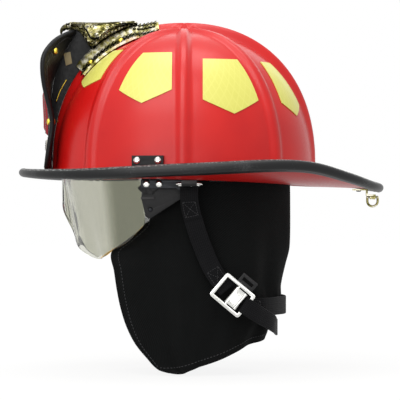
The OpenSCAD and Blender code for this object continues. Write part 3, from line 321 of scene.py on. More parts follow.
def reflective_sheet():
    """Prismatic retroreflective sheet, fluorescent lime: a lattice of 3.5 mm cells under a clear gloss."""
    m, t, b = finish_of("lime_retroreflective_sheet", {"Base Color": "#e0dc45", "Roughness": 0.42,
        "Coat Weight": 0.1, "Coat Roughness": 0.25})
    uv = add(t, "ShaderNodeUVMap", uv_map="UVMap")
    lines = []
    for turn in (30, -30):
        v = add(t, "ShaderNodeMapping", {"Vector": uv, "Rotation": (0, 0, math.radians(turn))})
        wave = add(t, "ShaderNodeTexWave", {"Vector": v, "Scale": bands(3.5)}, wave_profile="SIN")
        lines.append(wave.outputs["Fac"])
    cell = add(t, "ShaderNodeMath", {0: lines[0], 1: lines[1]}, operation="MAXIMUM")
    wall = add(t, "ShaderNodeValToRGB", {"Fac": cell}, stops=[(0.9, 0.0), (0.97, 1.0)])
    p = add(t, "ShaderNodeTexCoord").outputs["Object"]
    cloud = add(t, "ShaderNodeTexNoise", {"Vector": p, "Scale": per_metre(16.7), "Detail": 3})
    base = add(t, "ShaderNodeValToRGB", {"Fac": cloud}, stops=[(0.35, "#d7d364"), (0.65, "#dad669")])
    feed(t, b, {
        "Base Color": add(t, "ShaderNodeMix", {0: wall, 6: base, 7: "#dcd86e"}, data_type="RGBA"),
        "Normal": add(t, "ShaderNodeBump", {"Height": cell, "Strength": 0.12, "Distance": 0.05 * MM})})
    return m


def leather(name, colour, rub, roughness=0.42):
    """Vegetable-tanned leather, dyed and waxed: pebbled grain about 1 mm wide, and rubbed, paler edges."""
    m, t, b = finish_of(name, {"Base Color": colour, "Roughness": roughness, "Specular IOR Level": 0.22})
    p = add(t, "ShaderNodeTexCoord").outputs["Object"]
    pebble = add(t, "ShaderNodeTexVoronoi", {"Vector": p, "Scale": per_metre(1.1)}, feature="SMOOTH_F1")
    crease = add(t, "ShaderNodeTexNoise", {"Vector": p, "Scale": per_metre(4.17), "Detail": 4})
    cloud = add(t, "ShaderNodeTexNoise", {"Vector": p, "Scale": per_metre(22.2), "Detail": 3})
    faded = add(t, "ShaderNodeValToRGB", {"Fac": cloud}, stops=[(0.4, 0.0), (0.75, 0.35)])
    tone = add(t, "ShaderNodeMix", {0: faded, 6: colour, 7: rub}, data_type="RGBA")
    crest_mask = add(t, "ShaderNodeMath", {0: edge_wear(t, 0.515, 0.56), 1: crease}, operation="MULTIPLY")
    rough = [(0.3, roughness - 0.1), (0.7, roughness + 0.15)]
    relief = add(t, "ShaderNodeMath", {0: pebble, 1: crease}, operation="ADD")
    feed(t, b, {
        "Base Color": add(t, "ShaderNodeMix", {0: crest_mask, 6: tone, 7: rub}, data_type="RGBA"),
        "Roughness": add(t, "ShaderNodeValToRGB", {"Fac": crease}, stops=rough),
        "Normal": add(t, "ShaderNodeBump", {"Height": relief, "Strength": 0.55, "Distance": 0.22 * MM})})
    return m


def cast_brass():
    """Sand-cast brass, long unpolished: blotched yellow on the crests, running up to a near-white cream that
    is a painted highlight, and a near-black painted shade in the hollows and closed-in places.
    """
    m, t, b = finish_of("cast_brass_with_painted_shade", {"Base Color": "#8a6f35", "Roughness": 0.4, "Metallic": 1.0})
    p = add(t, "ShaderNodeTexCoord").outputs["Object"]
    blot = add(t, "ShaderNodeTexNoise", {"Vector": p, "Scale": per_metre(7.7), "Detail": 6,
        "Roughness": 0.65})
    # The blots' top stop, a near-white cream, is a painted highlight
    yellow = [(0.38, "#6f6b2e"), (0.48, "#c4bb7d"), (0.58, "#f7f2dd")]
    tone = add(t, "ShaderNodeValToRGB", {"Fac": blot}, stops=yellow)
    # Concave places, and places that ambient occlusion finds closed in, get a near-black painted shade
    ao_openness = add(t, "ShaderNodeAmbientOcclusion", {"Distance": 0.004}, samples=6).outputs["AO"]
    unoccluded = add(t, "ShaderNodeValToRGB", {"Fac": ao_openness}, stops=[(0.35, 0.0), (0.75, 1.0)])
    crest_mask = add(t, "ShaderNodeMath", {0: edge_wear(t, 0.47, 0.53), 1: unoccluded}, operation="MULTIPLY")
    sand = add(t, "ShaderNodeTexNoise", {"Vector": p, "Scale": per_metre(1.11), "Detail": 3})
    feed(t, b, {
        "Base Color": add(t, "ShaderNodeMix", {0: crest_mask, 6: "#0d0c08", 7: tone}, data_type="RGBA"),
        "Roughness": add(t, "ShaderNodeValToRGB", {"Fac": blot}, stops=[(0.35, 0.55), (0.7, 0.3)]),
        "Normal": add(t, "ShaderNodeBump", {"Height": sand, "Strength": 0.35, "Distance": 0.12 * MM})})
    return m


def turned_brass():
    """Turned yellow brass, lacquered: a warm satin with fine tool marks."""
    m, t, b = finish_of("lacquered_turned_brass", {"Base Color": "#dcc445", "Roughness": 0.34,
        "Metallic": 1.0})
    p = add(t, "ShaderNodeTexCoord").outputs["Object"]
    mark = add(t, "ShaderNodeTexNoise", {"Vector": p, "Scale": per_metre(1.43), "Detail": 4})
    yellows = [(0.35, "#c7a92f"), (0.6, "#ead75c")]
    feed(t, b, {
        "Base Color": add(t, "ShaderNodeValToRGB", {"Fac": mark}, stops=yellows),
        "Normal": add(t, "ShaderNodeBump", {"Height": mark, "Strength": 0.2, "Distance": 0.05 * MM})})
    return m


def clear_polycarbonate():
    """Clear polycarbonate sheet, formed and hard-coated: a faint grey-green body and a clean gloss, tinted
    darker on its side facets as painted shade. Its lower edge shows a painted amber highlight."""
    m, t, b = finish_of("clear_polycarbonate", {"Base Color": "#d3d3c8", "Roughness": 0.03, "IOR": 1.45,
        "Transmission Weight": 1.0})
    # The side facets get a darker tint, painted shade; the marked stretch of the lower edge gets amber, a
    # painted highlight
    side = add(t, "ShaderNodeAttribute", attribute_name="side").outputs["Fac"]
    edge_highlight = add(t, "ShaderNodeAttribute", attribute_name="edge_highlight").outputs["Fac"]
    sheet = add(t, "ShaderNodeMix", {0: side, 6: "#d8d8ce", 7: "#acad9f"}, data_type="RGBA")
    p = add(t, "ShaderNodeTexCoord").outputs["Object"]
    haze = add(t, "ShaderNodeTexNoise", {"Vector": p, "Scale": per_metre(25), "Detail": 1})
    feed(t, b, {
        "Base Color": add(t, "ShaderNodeMix", {0: edge_highlight, 6: sheet, 7: "#e3b23c"}, data_type="RGBA"),
        "Roughness": add(t, "ShaderNodeValToRGB", {"Fac": haze}, stops=[(0.4, 0.0), (0.8, 0.015)])})
    return m


def moulded_nylon():
    """Glass-filled nylon, moulded in a spark-eroded tool: a matt black with a fine, even texture."""
    black, roughness = "#121213", 0.42
    m, t, b = finish_of("black_moulded_nylon", {"Base Color": black, "Roughness": roughness,
        "Specular IOR Level": 0.22})
    p = add(t, "ShaderNodeTexCoord").outputs["Object"]
    spark = add(t, "ShaderNodeTexNoise", {"Vector": p, "Scale": per_metre(0.7), "Detail": 3})
    rough = [(0.3, roughness - 0.06), (0.7, roughness + 0.12)]
    feed(t, b, {
        "Base Color": add(t, "ShaderNodeMix", {0: edge_wear(t, 0.53, 0.6), 6: black, 7: "#3a3a3b"},
            data_type="RGBA"),
        "Roughness": add(t, "ShaderNodeValToRGB", {"Fac": spark}, stops=rough),
        "Normal": add(t, "ShaderNodeBump", {"Height": spark, "Strength": 0.4, "Distance": 0.1 * MM})})
    return m


def finished_steel(name, colour, roughness):
    """Sheet and wire steel, tumbled before it was plated or blackened: even, with faint handling marks."""
    m, t, b = finish_of(name, {"Base Color": colour, "Roughness": roughness, "Metallic": 1.0})
    p = add(t, "ShaderNodeTexCoord").outputs["Object"]
    mark = add(t, "ShaderNodeTexNoise", {"Vector": p, "Scale": per_metre(2), "Detail": 6, "Roughness": 0.7})
    rough = [(0.4, roughness - 0.04), (0.75, roughness + 0.2)]
    feed(t, b, {
        "Roughness": add(t, "ShaderNodeValToRGB", {"Fac": mark}, stops=rough),
        "Normal": add(t, "ShaderNodeBump", {"Height": mark, "Strength": 0.12, "Distance": 0.05 * MM})})
    return m


def rigid_foam():
    """Moulded rigid urethane foam: charcoal, dry, with beads and pores about 3 mm across under its skin."""
    m, t, b = finish_of("charcoal_urethane_foam", {"Base Color": "#2c2d30", "Roughness": 0.85})
    p = add(t, "ShaderNodeTexCoord").outputs["Object"]
    bead = add(t, "ShaderNodeTexVoronoi", {"Vector": p, "Scale": per_metre(3)}, feature="SMOOTH_F1")
    feed(t, b, {
        "Base Color": add(t, "ShaderNodeValToRGB", {"Fac": bead}, stops=[(0.2, "#34363a"), (0.7, "#222326")]),
        "Normal": add(t, "ShaderNodeBump", {"Height": bead, "Strength": 0.5, "Distance": 0.4 * MM})})
    return m


def nylon_webbing():
    """Woven nylon webbing: ribs across the strap every 1.4 mm, yarns of 1 mm along it, and a dull sheen."""
    m, t, b = finish_of("black_nylon_webbing", {"Base Color": "#0d0d0e", "Roughness": 0.7,
        "Sheen Weight": 0.02, "Sheen Roughness": 0.4, "Specular IOR Level": 0.1})
    uv = add(t, "ShaderNodeUVMap", uv_map="UVMap")
    rib = add(t, "ShaderNodeTexWave", {"Vector": uv, "Scale": bands(1.4)}, bands_direction="X")
    yarn = add(t, "ShaderNodeTexWave", {"Vector": uv, "Scale": bands(1.0)}, bands_direction="Y")
    weave = add(t, "ShaderNodeMath", {0: rib.outputs["Fac"], 1: 0.5, 2: yarn.outputs["Fac"]},
        operation="MULTIPLY_ADD")
    tone = add(t, "ShaderNodeValToRGB", {"Fac": weave}, stops=[(0.3, "#060607"), (1.1, "#131315")])
    p = add(t, "ShaderNodeTexCoord").outputs["Object"]
    cloud = add(t, "ShaderNodeTexNoise", {"Vector": p, "Scale": per_metre(16.7), "Detail": 3})
    lint = add(t, "ShaderNodeValToRGB", {"Fac": cloud}, stops=[(0.5, 0.0), (0.8, 0.4)])
    feed(t, b, {
        "Base Color": add(t, "ShaderNodeMix", {0: lint, 6: tone, 7: "#1b1b1c"}, data_type="RGBA"),
        "Normal": add(t, "ShaderNodeBump", {"Height": weave, "Strength": 0.8, "Distance": 0.35 * MM})})
    return m


def twill(name, colour, light, thread_mm):
    """Cloth in a plain twill: matt, with a soft nap and diagonal lines of the weave, one thread apart."""
    m, t, b = finish_of(name, {"Base Color": colour, "Roughness": 0.92, "Sheen Weight": 0.03,
        "Sheen Roughness": 0.5, "Specular IOR Level": 0.08})
    uv = add(t, "ShaderNodeUVMap", uv_map="UVMap")
    slant = add(t, "ShaderNodeMapping", {"Vector": uv, "Rotation": (0, 0, math.radians(58))})
    weave = add(t, "ShaderNodeTexWave", {"Vector": slant, "Scale": bands(thread_mm), "Distortion": 1.0,
        "Detail": 1}, bands_direction="X").outputs["Fac"]
    p = add(t, "ShaderNodeTexCoord").outputs["Object"]
    nap = add(t, "ShaderNodeTexNoise", {"Vector": p, "Scale": per_metre(1.43), "Detail": 4})
    cloud = add(t, "ShaderNodeTexNoise", {"Vector": p, "Scale": per_metre(45.5), "Detail": 4})
    faded = add(t, "ShaderNodeValToRGB", {"Fac": cloud}, stops=[(0.45, 0.0), (0.75, 0.4)])
    tone = add(t, "ShaderNodeMix", {0: weave, 6: colour, 7: light}, data_type="RGBA")
    relief = add(t, "ShaderNodeMath", {0: weave, 1: nap}, operation="ADD")
    feed(t, b, {
        "Base Color": add(t, "ShaderNodeMix", {0: faded, 6: tone, 7: light}, data_type="RGBA"),
        "Normal": add(t, "ShaderNodeBump", {"Height": relief, "Strength": 0.6, "Distance": 0.3 * MM})})
    return m


def bonded_thread(name, colour):
    """Bonded nylon thread, twisted every 0.4 mm: a slight gloss."""
    m, t, b = finish_of(name, {"Base Color": colour, "Roughness": 0.5})
    p = add(t, "ShaderNodeTexCoord").outputs["Object"]
    twist = add(t, "ShaderNodeTexNoise", {"Vector": p, "Scale": per_metre(0.4), "Detail": 2})
    feed(t, b, {"Normal": add(t, "ShaderNodeBump", {"Height": twist, "Strength": 0.5, "Distance": 0.1 * MM})})
    return m


RED_SHELL = gloss_thermoplastic()
BEAD = vinyl_bead()
LIME = reflective_sheet()
BLACK_LEATHER = leather("black_waxed_leather", "#060607", "#161617")
RED_LEATHER = leather("red_dyed_leather", "#8f1220", "#b8434a")
PALE_LEATHER = leather("bleached_leather", "#a9a69e", "#cfccc2", 0.5)
TAN_LEATHER = leather("undyed_leather", "#7d7150", "#a09270", 0.5)
BRASS = cast_brass()
TURNED_BRASS = turned_brass()
CLEAR = clear_polycarbonate()
NYLON = moulded_nylon()
PLATED = finished_steel("nickel_plated_steel", "#cfcfcb", 0.14)
DARK_STEEL = finished_steel("black_oxide_steel", "#2a2b2d", 0.34)
FOAM = rigid_foam()
WEBBING = nylon_webbing()
CLOTH = twill("black_flame_cloth", "#0b0c0c", "#151616", 1.1)
PAD_CLOTH = twill("brown_brushed_cotton", "#3c3631", "#4f4740", 0.9)
THREAD = bonded_thread("grey_bonded_thread", "#8b8a84")
BLACK_THREAD = bonded_thread("black_bonded_thread", "#242426")


# The shell, its bead and its decals follow the same rules and sizes as the part's source, in mm.
DOME_L, DOME_W, DOME_H, DOME_X, POWER, WALL = 138.0, 112.0, 150.5, 1.0, 2.2, 3.0
BRIM_FRONT, BRIM_REAR, BRIM_HALF, BRIM_X, TIP_DROP = 174.0, 209.0, 141.0, -10.0, 16.0
TRIM_H, TRIM_D = 11.0, 14.0
COMB_WIDE, RIB_WIDE, RIBS = 23.0, 18.0, 8
# The dome's rows stop just short of its top, which is a point of its own
TOP_ROW = math.pi / 2 * 0.985


def dome_share(s):
    """How wide the dome is at the share s of its height, of its width at the foot."""
    return np.maximum(0, 1 - np.power(np.clip(s, 0, 1), POWER)) ** (1 / POWER)


def dome_at(psi, z, out=0.0):
    """A point of the smooth dome, psi degrees round from the front and z up, moved out along its normal."""
    psi, z = np.broadcast_arrays(np.radians(np.asarray(psi, float)), np.asarray(z, float))
    s = np.maximum(0, z) / DOME_H
    c = dome_share(s)
    level, steep = c ** (POWER - 1), s ** (POWER - 1)
    n = unit(np.stack([level * np.cos(psi) / DOME_L, level * np.sin(psi) / DOME_W, steep / DOME_H], -1))
    p = np.stack([DOME_X + DOME_L * c * np.cos(psi), DOME_W * c * np.sin(psi), z], -1)
    return p + n * np.asarray(out, float)[..., None]


def rib_out(psi, z):
    """Height of the comb and ribs over the dome, rounded on top and faired into it."""
    psi, z = np.broadcast_arrays(np.radians(np.asarray(psi, float)), np.asarray(z, float))
    c = dome_share(np.maximum(0, z) / DOME_H)
    x, y = DOME_L * c * np.cos(psi), DOME_W * c * np.sin(psi)
    up = ease(z / DOME_H)
    best = np.zeros_like(x)
    for k in range(RIBS):
        turn, on_comb = 2 * math.pi * k / RIBS, k % 4 == 0
        w = unit(np.array([DOME_L * math.cos(turn), DOME_W * math.sin(turn)]))
        off = np.abs(x * w[1] - y * w[0])
        half = (COMB_WIDE if on_comb else RIB_WIDE) / 2
        tall = 4 + 6.5 * up if on_comb else 3 + 1.5 * up
        share = np.where(x * w[0] + y * w[1] < 0, 0, ease((1 - off / half) * 1.25))
        best = np.maximum(best, share * tall)
    return best


def root_z(psi):
    """The height at which the brim leaves the dome."""
    return -4 - 9 * ((1 - np.cos(np.radians(psi))) / 2) ** 1.5


def edge_z(psi):
    """The height of the brim's edge, which dips at the rear."""
    a = np.abs((np.asarray(psi, float) + 180) % 360 - 180)
    dip = [(0, 1), (50, -2), (90, 3), (115, 7), (128, 5), (144, -5), (160, -TIP_DROP + 3), (180, -TIP_DROP)]
    return curve(dip, a)


def root_at(psi):
    a = np.radians(psi)
    return np.stack([DOME_X + DOME_L * np.cos(a), DOME_W * np.sin(a)], -1)


def edge_at(psi):
    a = np.radians(psi)
    reach = np.where(np.cos(a) > 0, BRIM_FRONT - BRIM_X, BRIM_REAR + BRIM_X)
    return np.stack([BRIM_X + reach * np.cos(a), BRIM_HALF * np.sin(a)], -1)


def brim_at(psi, w, dz=0.0):
    """A point on the brim's upper face, at the share w of the way from the dome to the edge."""
    psi, w = np.broadcast_arrays(np.asarray(psi, float), np.asarray(w, float))
    a, b = root_at(psi), edge_at(psi)
    p = a + (b - a) * w[..., None]
    z = root_z(psi) + (edge_z(psi) - root_z(psi)) * (w * w * 0.6 + w * 0.4) + dz
    return np.concatenate([p, z[..., None]], -1)


def brim_out(psi, mm, dz=0.0):
    """A point on the brim's upper face, so many mm out from the dome."""
    return brim_at(psi, mm / np.linalg.norm(edge_at(psi) - root_at(psi), axis=-1), dz)


def fillet(a, b, c, steps):
    """Rounds the corner b between the rows of points a and c."""
    return [a * (1 - t) ** 2 + b * 2 * t * (1 - t) + c * t ** 2 for t in np.linspace(0, 1, steps)]


def build_shell():
    """Rows of points down the ribbed dome, out over the brim, back under it and up the inside to the top."""
    psi, flat = np.arange(0, 360, 1.0), np.array([1, 1, 0])

    def drop(z):
        return np.stack([0 * psi, 0 * psi, z], -1)
    rises = np.sin(np.linspace(TOP_ROW, 0.15, 46))
    rows = [dome_at(psi, s * DOME_H, rib_out(psi, s * DOME_H)) for s in rises]
    foot, round_out, round_in = dome_at(psi, 0, rib_out(psi, 0)), 9.0 + rib_out(psi, 0) * 0.7, 5.0
    rows += fillet(foot + drop(root_z(psi) + 9), foot * flat + drop(root_z(psi)), brim_out(psi, round_out), 9)
    start = round_out / np.linalg.norm(edge_at(psi) - root_at(psi), axis=-1)
    shares = [start + (1 - start) * t for t in np.linspace(0.1, 1, 12)]
    rows += [brim_at(psi, w) for w in shares] + [brim_at(psi, w, -WALL) for w in shares[::-1]]
    inside = dome_at(psi, 0, -WALL)
    corner = inside * flat + drop(root_z(psi) - WALL)
    rows += fillet(brim_out(psi, round_in, -WALL), corner, inside + [0, 0, 6.0], 7)
    rows += [dome_at(psi, s * DOME_H, -WALL) for s in np.sin(np.linspace(0.12, TOP_ROW, 26))]
    poles = [[DOME_X, 0, DOME_H + 10.5], [DOME_X, 0, DOME_H - WALL]]
    o = mesh_object("red_shell", np.concatenate(rows + [poles]), capped_faces(len(rows), len(psi), flip=True))
    done(smooth(o, 60), RED_SHELL, replaces=["outer_shell"])


def trim_frames(psi):
    """The edge's middle line round the brim, with the ways out from it and down."""
    a, b = brim_at(psi, 1, -WALL / 2), brim_at(psi, 0.86, -WALL / 2)
    way = unit(a - b)
    t = unit(edge_at(psi + 1) - edge_at(psi - 1))
    side = unit(np.stack([t[:, 1], -t[:, 0], way[:, 2] / np.hypot(way[:, 0], way[:, 1])], -1))
    down = unit(np.cross(side, np.stack([-t[:, 0], -t[:, 1], 0 * psi], -1)))
    return a, side, down


def mark_points(o, name, values):
    """Keeps a value for each point of a mesh, which its material reads by name."""
    mark = o.data.attributes.new(name, "FLOAT", "POINT")
    mark.data.foreach_set("value", np.asarray(values, np.float32).ravel())


def build_trim():
    """A channel with a full round crest: its outline runs from the lower lip round the crest."""
    half, gap, deep = TRIM_H / 2, WALL / 2 + 0.35, TRIM_D - 5
    crest = [((5 if math.cos(a) > 0 else 4) * math.cos(a), half * math.sin(a))
        for a in np.linspace(math.pi / 2 + 0.5, -math.pi / 2 - 0.5, 19)]
    lip = [(-deep, gap), (-deep - 0.5, gap + 0.6), (-deep + 0.2, gap + 1.3), (-deep + 3, half - 1.3),
        (-deep + 5, half - 0.45)]
    outline = lip + crest + [(x, -y) for x, y in lip[::-1]] + [(0.4, -gap), (0.4, gap)]
    psi = np.arange(0, 360, 1.25)
    edge, side, down = trim_frames(psi)
    beside = np.sin(np.radians(psi))[:, None] ** 2
    rows = []
    for j, (x, y) in enumerate(outline):
        # At the sides the upper lip stands higher, and at the front and rear the channel is slimmer
        raised = 0.34 * max(0, 2 - x) * beside if 14 < j < 29 else 0
        rows.append(edge + side * x + down * (y * (0.84 + 0.26 * beside) - raised))
    o = mesh_object("brim_bead", np.stack(rows, 1).reshape(-1, 3),
        grid_faces(len(psi), len(outline), close_rows=True, close_columns=True, flip=True))
    # The marked rows carry the bead's painted glints, a painted highlight
    on_lip = [1.0 if 17 <= j <= 27 else 0.0 for j in range(len(outline))]
    mark_points(o, "lip", np.tile(on_lip, len(psi)))
    done(smooth(o, 55), BEAD, replaces=["brim_trim"])


def build_decals():
    """Eight five-sided patches of sheet that lie on the dome between the ribs, each from its top to its two
    lower corners and its point."""
    heights = ((129, 97, 89), (124, 84, 70), (117, 73.5, 59), (116, 72, 59))

    def reach(j, c, ahead):
        """The angle that rib j and its margin take of the dome, on one side of the rib's middle."""
        margin = 18.5 if j % RIBS == 0 else 20.0 if j == 4 or not ahead else 12.0
        r = math.hypot(DOME_L * math.cos(j * math.pi / 4), DOME_W * math.sin(j * math.pi / 4))
        return np.degrees(np.arcsin(margin * r / (c * DOME_L * DOME_W)))
    for k in range(RIBS):
        top, low, foot = heights[min(k, RIBS - 1 - k)]
        v, u = np.meshgrid(np.linspace(0, 1, 26), np.linspace(0, 1, 31), indexing="ij")
        z = top + (low - (low - foot) * (1 - np.abs(2 * u - 1)) - top) * v
        c = dome_share(z / DOME_H)
        start, end = 45 * k + reach(k, c, k > 3), 45 * (k + 1) - reach(k + 1, c, k < 4)
        psi = start + (end - start) * u
        sheet = slab_object("decal_%d" % k, dome_at(psi, z, 0.85), dome_at(psi, z, 0.1),
            np.stack([(u - 0.5) * 60, v * 50], -1).reshape(-1, 2))
        done(smooth(sheet, 30), LIME, replaces=["reflective_decals"])


build_shell()
build_trim()
build_decals()


# Repeated small shapes: one Geometry Nodes tree sets a shape at each place, out along its normal
def repeat_tree():
    g = bpy.data.node_groups.new("set_at_places", "GeometryNodeTree")
    face = g.interface
    face.new_socket(name="Places", in_out="INPUT", socket_type="NodeSocketGeometry")
    ids = {}
    kinds = {"Shape": "Object", "Length": "Float", "Width": "Float", "Height": "Float",
        "Size jitter": "Float", "Turn jitter": "Float", "Seed": "Int", "Material": "Material"}
    for name, kind in kinds.items():
        ids[name] = face.new_socket(name=name, in_out="INPUT", socket_type="NodeSocket" + kind).identifier
    face.new_socket(name="Shapes", in_out="OUTPUT", socket_type="NodeSocketGeometry")
    i = add(g, "NodeGroupInput").outputs
    out = add(g, "GeometryNodeInputNamedAttribute", {"Name": "out"}, data_type="FLOAT_VECTOR")
    way = add(g, "GeometryNodeInputNamedAttribute", {"Name": "way"}, data_type="FLOAT_VECTOR")
    up = add(g, "FunctionNodeAlignRotationToVector", {"Vector": out.outputs["Attribute"]}, axis="Z")
    turn = add(g, "FunctionNodeAlignRotationToVector", {"Rotation": up, "Vector": way.outputs["Attribute"]},
        axis="X", pivot_axis="Z")
    least = add(g, "ShaderNodeMath", {0: i["Turn jitter"], 1: -1.0}, operation="MULTIPLY")
    spin = add(g, "FunctionNodeRandomValue", {2: least, 3: i["Turn jitter"], "Seed": i["Seed"]},
        data_type="FLOAT")
    lean = add(g, "ShaderNodeCombineXYZ", {"Z": spin.outputs[1]})
    rot = add(g, "FunctionNodeRotateRotation", {"Rotation": turn, "Rotate By": lean}, rotation_space="LOCAL")
    small = add(g, "ShaderNodeMath", {0: 1.0, 1: i["Size jitter"]}, operation="SUBTRACT")
    large = add(g, "ShaderNodeMath", {0: 1.0, 1: i["Size jitter"]}, operation="ADD")
    size = add(g, "FunctionNodeRandomValue", {2: small, 3: large, "Seed": i["Seed"]}, data_type="FLOAT")
    box = add(g, "ShaderNodeCombineXYZ", {"X": i["Length"], "Y": i["Width"], "Z": i["Height"]})
    scale = add(g, "ShaderNodeVectorMath", {0: box, "Scale": size.outputs[1]}, operation="SCALE")
    shape = add(g, "GeometryNodeObjectInfo", {"Object": i["Shape"]}, transform_space="ORIGINAL")
    points = add(g, "GeometryNodeMeshToPoints", {"Mesh": i["Places"]})
    put = add(g, "GeometryNodeInstanceOnPoints", {"Points": points, "Instance": shape.outputs["Geometry"],
        "Rotation": rot, "Scale": scale})
    real = add(g, "GeometryNodeRealizeInstances", {"Geometry": put})
    add(g, "NodeGroupOutput", {
        "Shapes": add(g, "GeometryNodeSetMaterial", {"Geometry": real, "Material": i["Material"]})})
    return g, ids


REPEAT, REPEAT_ID = repeat_tree()


def repeat(name, places, outs, ways, shape, size_mm, material, size_jitter=0.0, turn_jitter=0.0, seed=1):
    """Sets a shape, one unit long, wide and high, at each place in mm, and settles all into one mesh."""
    me = bpy.data.meshes.new(name)
    me.from_pydata([tuple(float(c) * MM for c in p) for p in places], [], [])
    for key, values in (("out", outs), ("way", ways)):
        a = me.attributes.new(key, "FLOAT_VECTOR", "POINT")
        a.data.foreach_set("vector", np.asarray(values, np.float32).ravel())
    o = bpy.data.objects.new(name, me)
    scene.collection.objects.link(o)
    m = o.modifiers.new("places", "NODES")
    m.node_group = REPEAT
    long, wide, high = (size * MM for size in size_mm)
    values = {"Shape": shape, "Length": long, "Width": wide, "Height": high, "Size jitter": size_jitter,
        "Turn jitter": turn_jitter, "Seed": seed, "Material": material}
    for k, v in values.items():
        m[REPEAT_ID[k]] = v
    settle(o)
    o.data.shade_smooth()
    return o


def unit_shape(name, verts, faces):
    """A small shape that is only shown where it is repeated."""
    me = bpy.data.meshes.new(name)
    me.from_pydata([tuple(map(float, v)) for v in verts], [], faces)
    me.shade_smooth()
    o = bpy.data.objects.new(name, me)
    scene.collection.objects.link(o)
    o.hide_render = True
    o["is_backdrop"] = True
    return o


def stitch_shape():
    """One stitch: a thread that dips into the cloth at both its ends."""
    rings = ((-0.46, 0.3, -0.2), (-0.3, 0.5, 0.15), (0.0, 0.5, 0.3), (0.3, 0.5, 0.15), (0.46, 0.3, -0.2))
    turns = np.arange(6) * math.pi / 3
    verts = [(x, r * math.cos(a), z + r * math.sin(a)) for x, r, z in rings for a in turns]
    verts += [(-0.5, 0, -0.35), (0.5, 0, -0.35)]
    return unit_shape("one_stitch", verts, capped_faces(len(rings), len(turns)))


def feather_shape():
    """One cast feather: a leaf with a raised quill, lifted a little at its tip."""
    across = ((-1, 0), (-0.75, 0.62), (-0.22, 0.78), (0, 1), (0.22, 0.78), (0.75, 0.62), (1, 0))
    verts, m, n = [], 7, len(across)
    for x in np.linspace(0, 1, m):
        half = 0.5 * math.sin(math.pi * min(1, x * 0.86 + 0.1)) ** 0.7 * (1 if x < 0.99 else 0.2)
        verts += [(x - 0.5, half * y, (0.25 + 0.75 * x) * z) for y, z in across]
    faces = grid_faces(m, n) + [tuple(range(n)), tuple(range(m * n - 1, (m - 1) * n - 1, -1))]
    faces += [(i * n, i * n + n - 1, (i + 1) * n + n - 1, (i + 1) * n) for i in range(m - 1)]
    return unit_shape("one_feather", verts, faces)


STITCH = stitch_shape()
FEATHER = feather_shape()


def along(points, pitch_mm):
    """Evenly spaced points along a line, the line's direction at each, and how far along they are."""
    run, near = run_of(points), 0.3
    n = max(2, int(run[-1] / pitch_mm))
    s = (np.arange(n) + 0.5) * run[-1] / n
    ahead = at_run(np.minimum(s + near, run[-1]), run, points)
    behind = at_run(np.maximum(s - near, 0), run, points)
    return at_run(s, run, points), unit(ahead - behind), s


def swept_object(name, line, across, up, section):
    """A closed bar along a line: its section's (across, up) points in mm, set at each point of the line."""
    x, y = np.asarray(section, float).T
    rings = line[:, None] + across[:, None] * x[:, None] + up[:, None] * y[:, None]
    verts = np.concatenate([rings.reshape(-1, 3), line[:1], line[-1:]])
    run = run_of(line)
    uv = [(d, place) for d in run for place in x] + [(0, 0), (run[-1], 0)]
    return mesh_object(name, verts, capped_faces(*rings.shape[:2]), uv)


def tube_object(name, line, radius_mm, sides=10, flat=1.0, outs=(0.0, 0, 1)):
    """A round or oval cord of leather, wire or thread along a line, with one radius or one for each point."""
    line = np.asarray(line, float)
    ways = unit(np.gradient(line, axis=0))
    side = unit(np.cross(ways, np.broadcast_to(np.asarray(outs, float), line.shape)))
    up = unit(np.cross(side, ways))
    r = np.broadcast_to(np.asarray(radius_mm, float), len(line))[:, None]
    a = np.arange(sides) * 2 * math.pi / sides
    return swept_object(name, line, side * r, up * r, np.stack([np.cos(a), flat * np.sin(a)], -1))


# Screw and rivet heads, as shapes one unit wide and high
def head_shape(name, crown, recess):
    """A turned head: crown rows of (radius, height), then a six-lobed recess if it has one."""
    n = 24
    turns, rows, top = [2 * math.pi * k / n for k in range(n)], [[(r, z)] * n for r, z in crown], crown[-1][1]
    if recess:
        lobe = [0.19 + 0.045 * math.cos(6 * a) for a in turns]
        rows += [[(r + 0.03, top + 0.01) for r in lobe], [(r, top - 0.05) for r in lobe],
            [(r * 0.92, 0.45) for r in lobe]]
    verts = [(r * math.cos(a), r * math.sin(a), z) for row in rows for a, (r, z) in zip(turns, row)]
    faces = grid_faces(len(rows), n, close_columns=True, flip=True)
    return unit_shape(name, verts, faces + [tuple(range((len(rows) - 1) * n, len(rows) * n))])


SCREW = head_shape("one_screw", [(0.5, -0.4), (0.5, 0.2), (0.49, 0.32), (0.45, 0.55), (0.38, 0.78),
    (0.3, 0.94)], recess=True)
RIVET = head_shape("one_rivet", [(0.5, -0.4), (0.5, 0.1), (0.485, 0.35), (0.44, 0.6), (0.36, 0.8),
    (0.25, 0.93), (0.12, 0.99), (0.03, 1.0)], recess=False)


def heads(name, places, outs, shape, wide, high, material, body="helmet", replaces=(), way=(0, 0, 1)):
    """Heads of screws or rivets at places in mm, each turned a little by chance."""
    outs = np.broadcast_to(np.asarray(outs, float), (len(places), 3))
    ways = unit(np.cross(np.cross(outs, np.asarray(way, float)), outs) + 1e-4)
    o = repeat(name, places, outs, ways, shape, (wide, wide, high), material, turn_jitter=0.7)
    smooth(o, 35)
    return done(o, None, body, replaces)


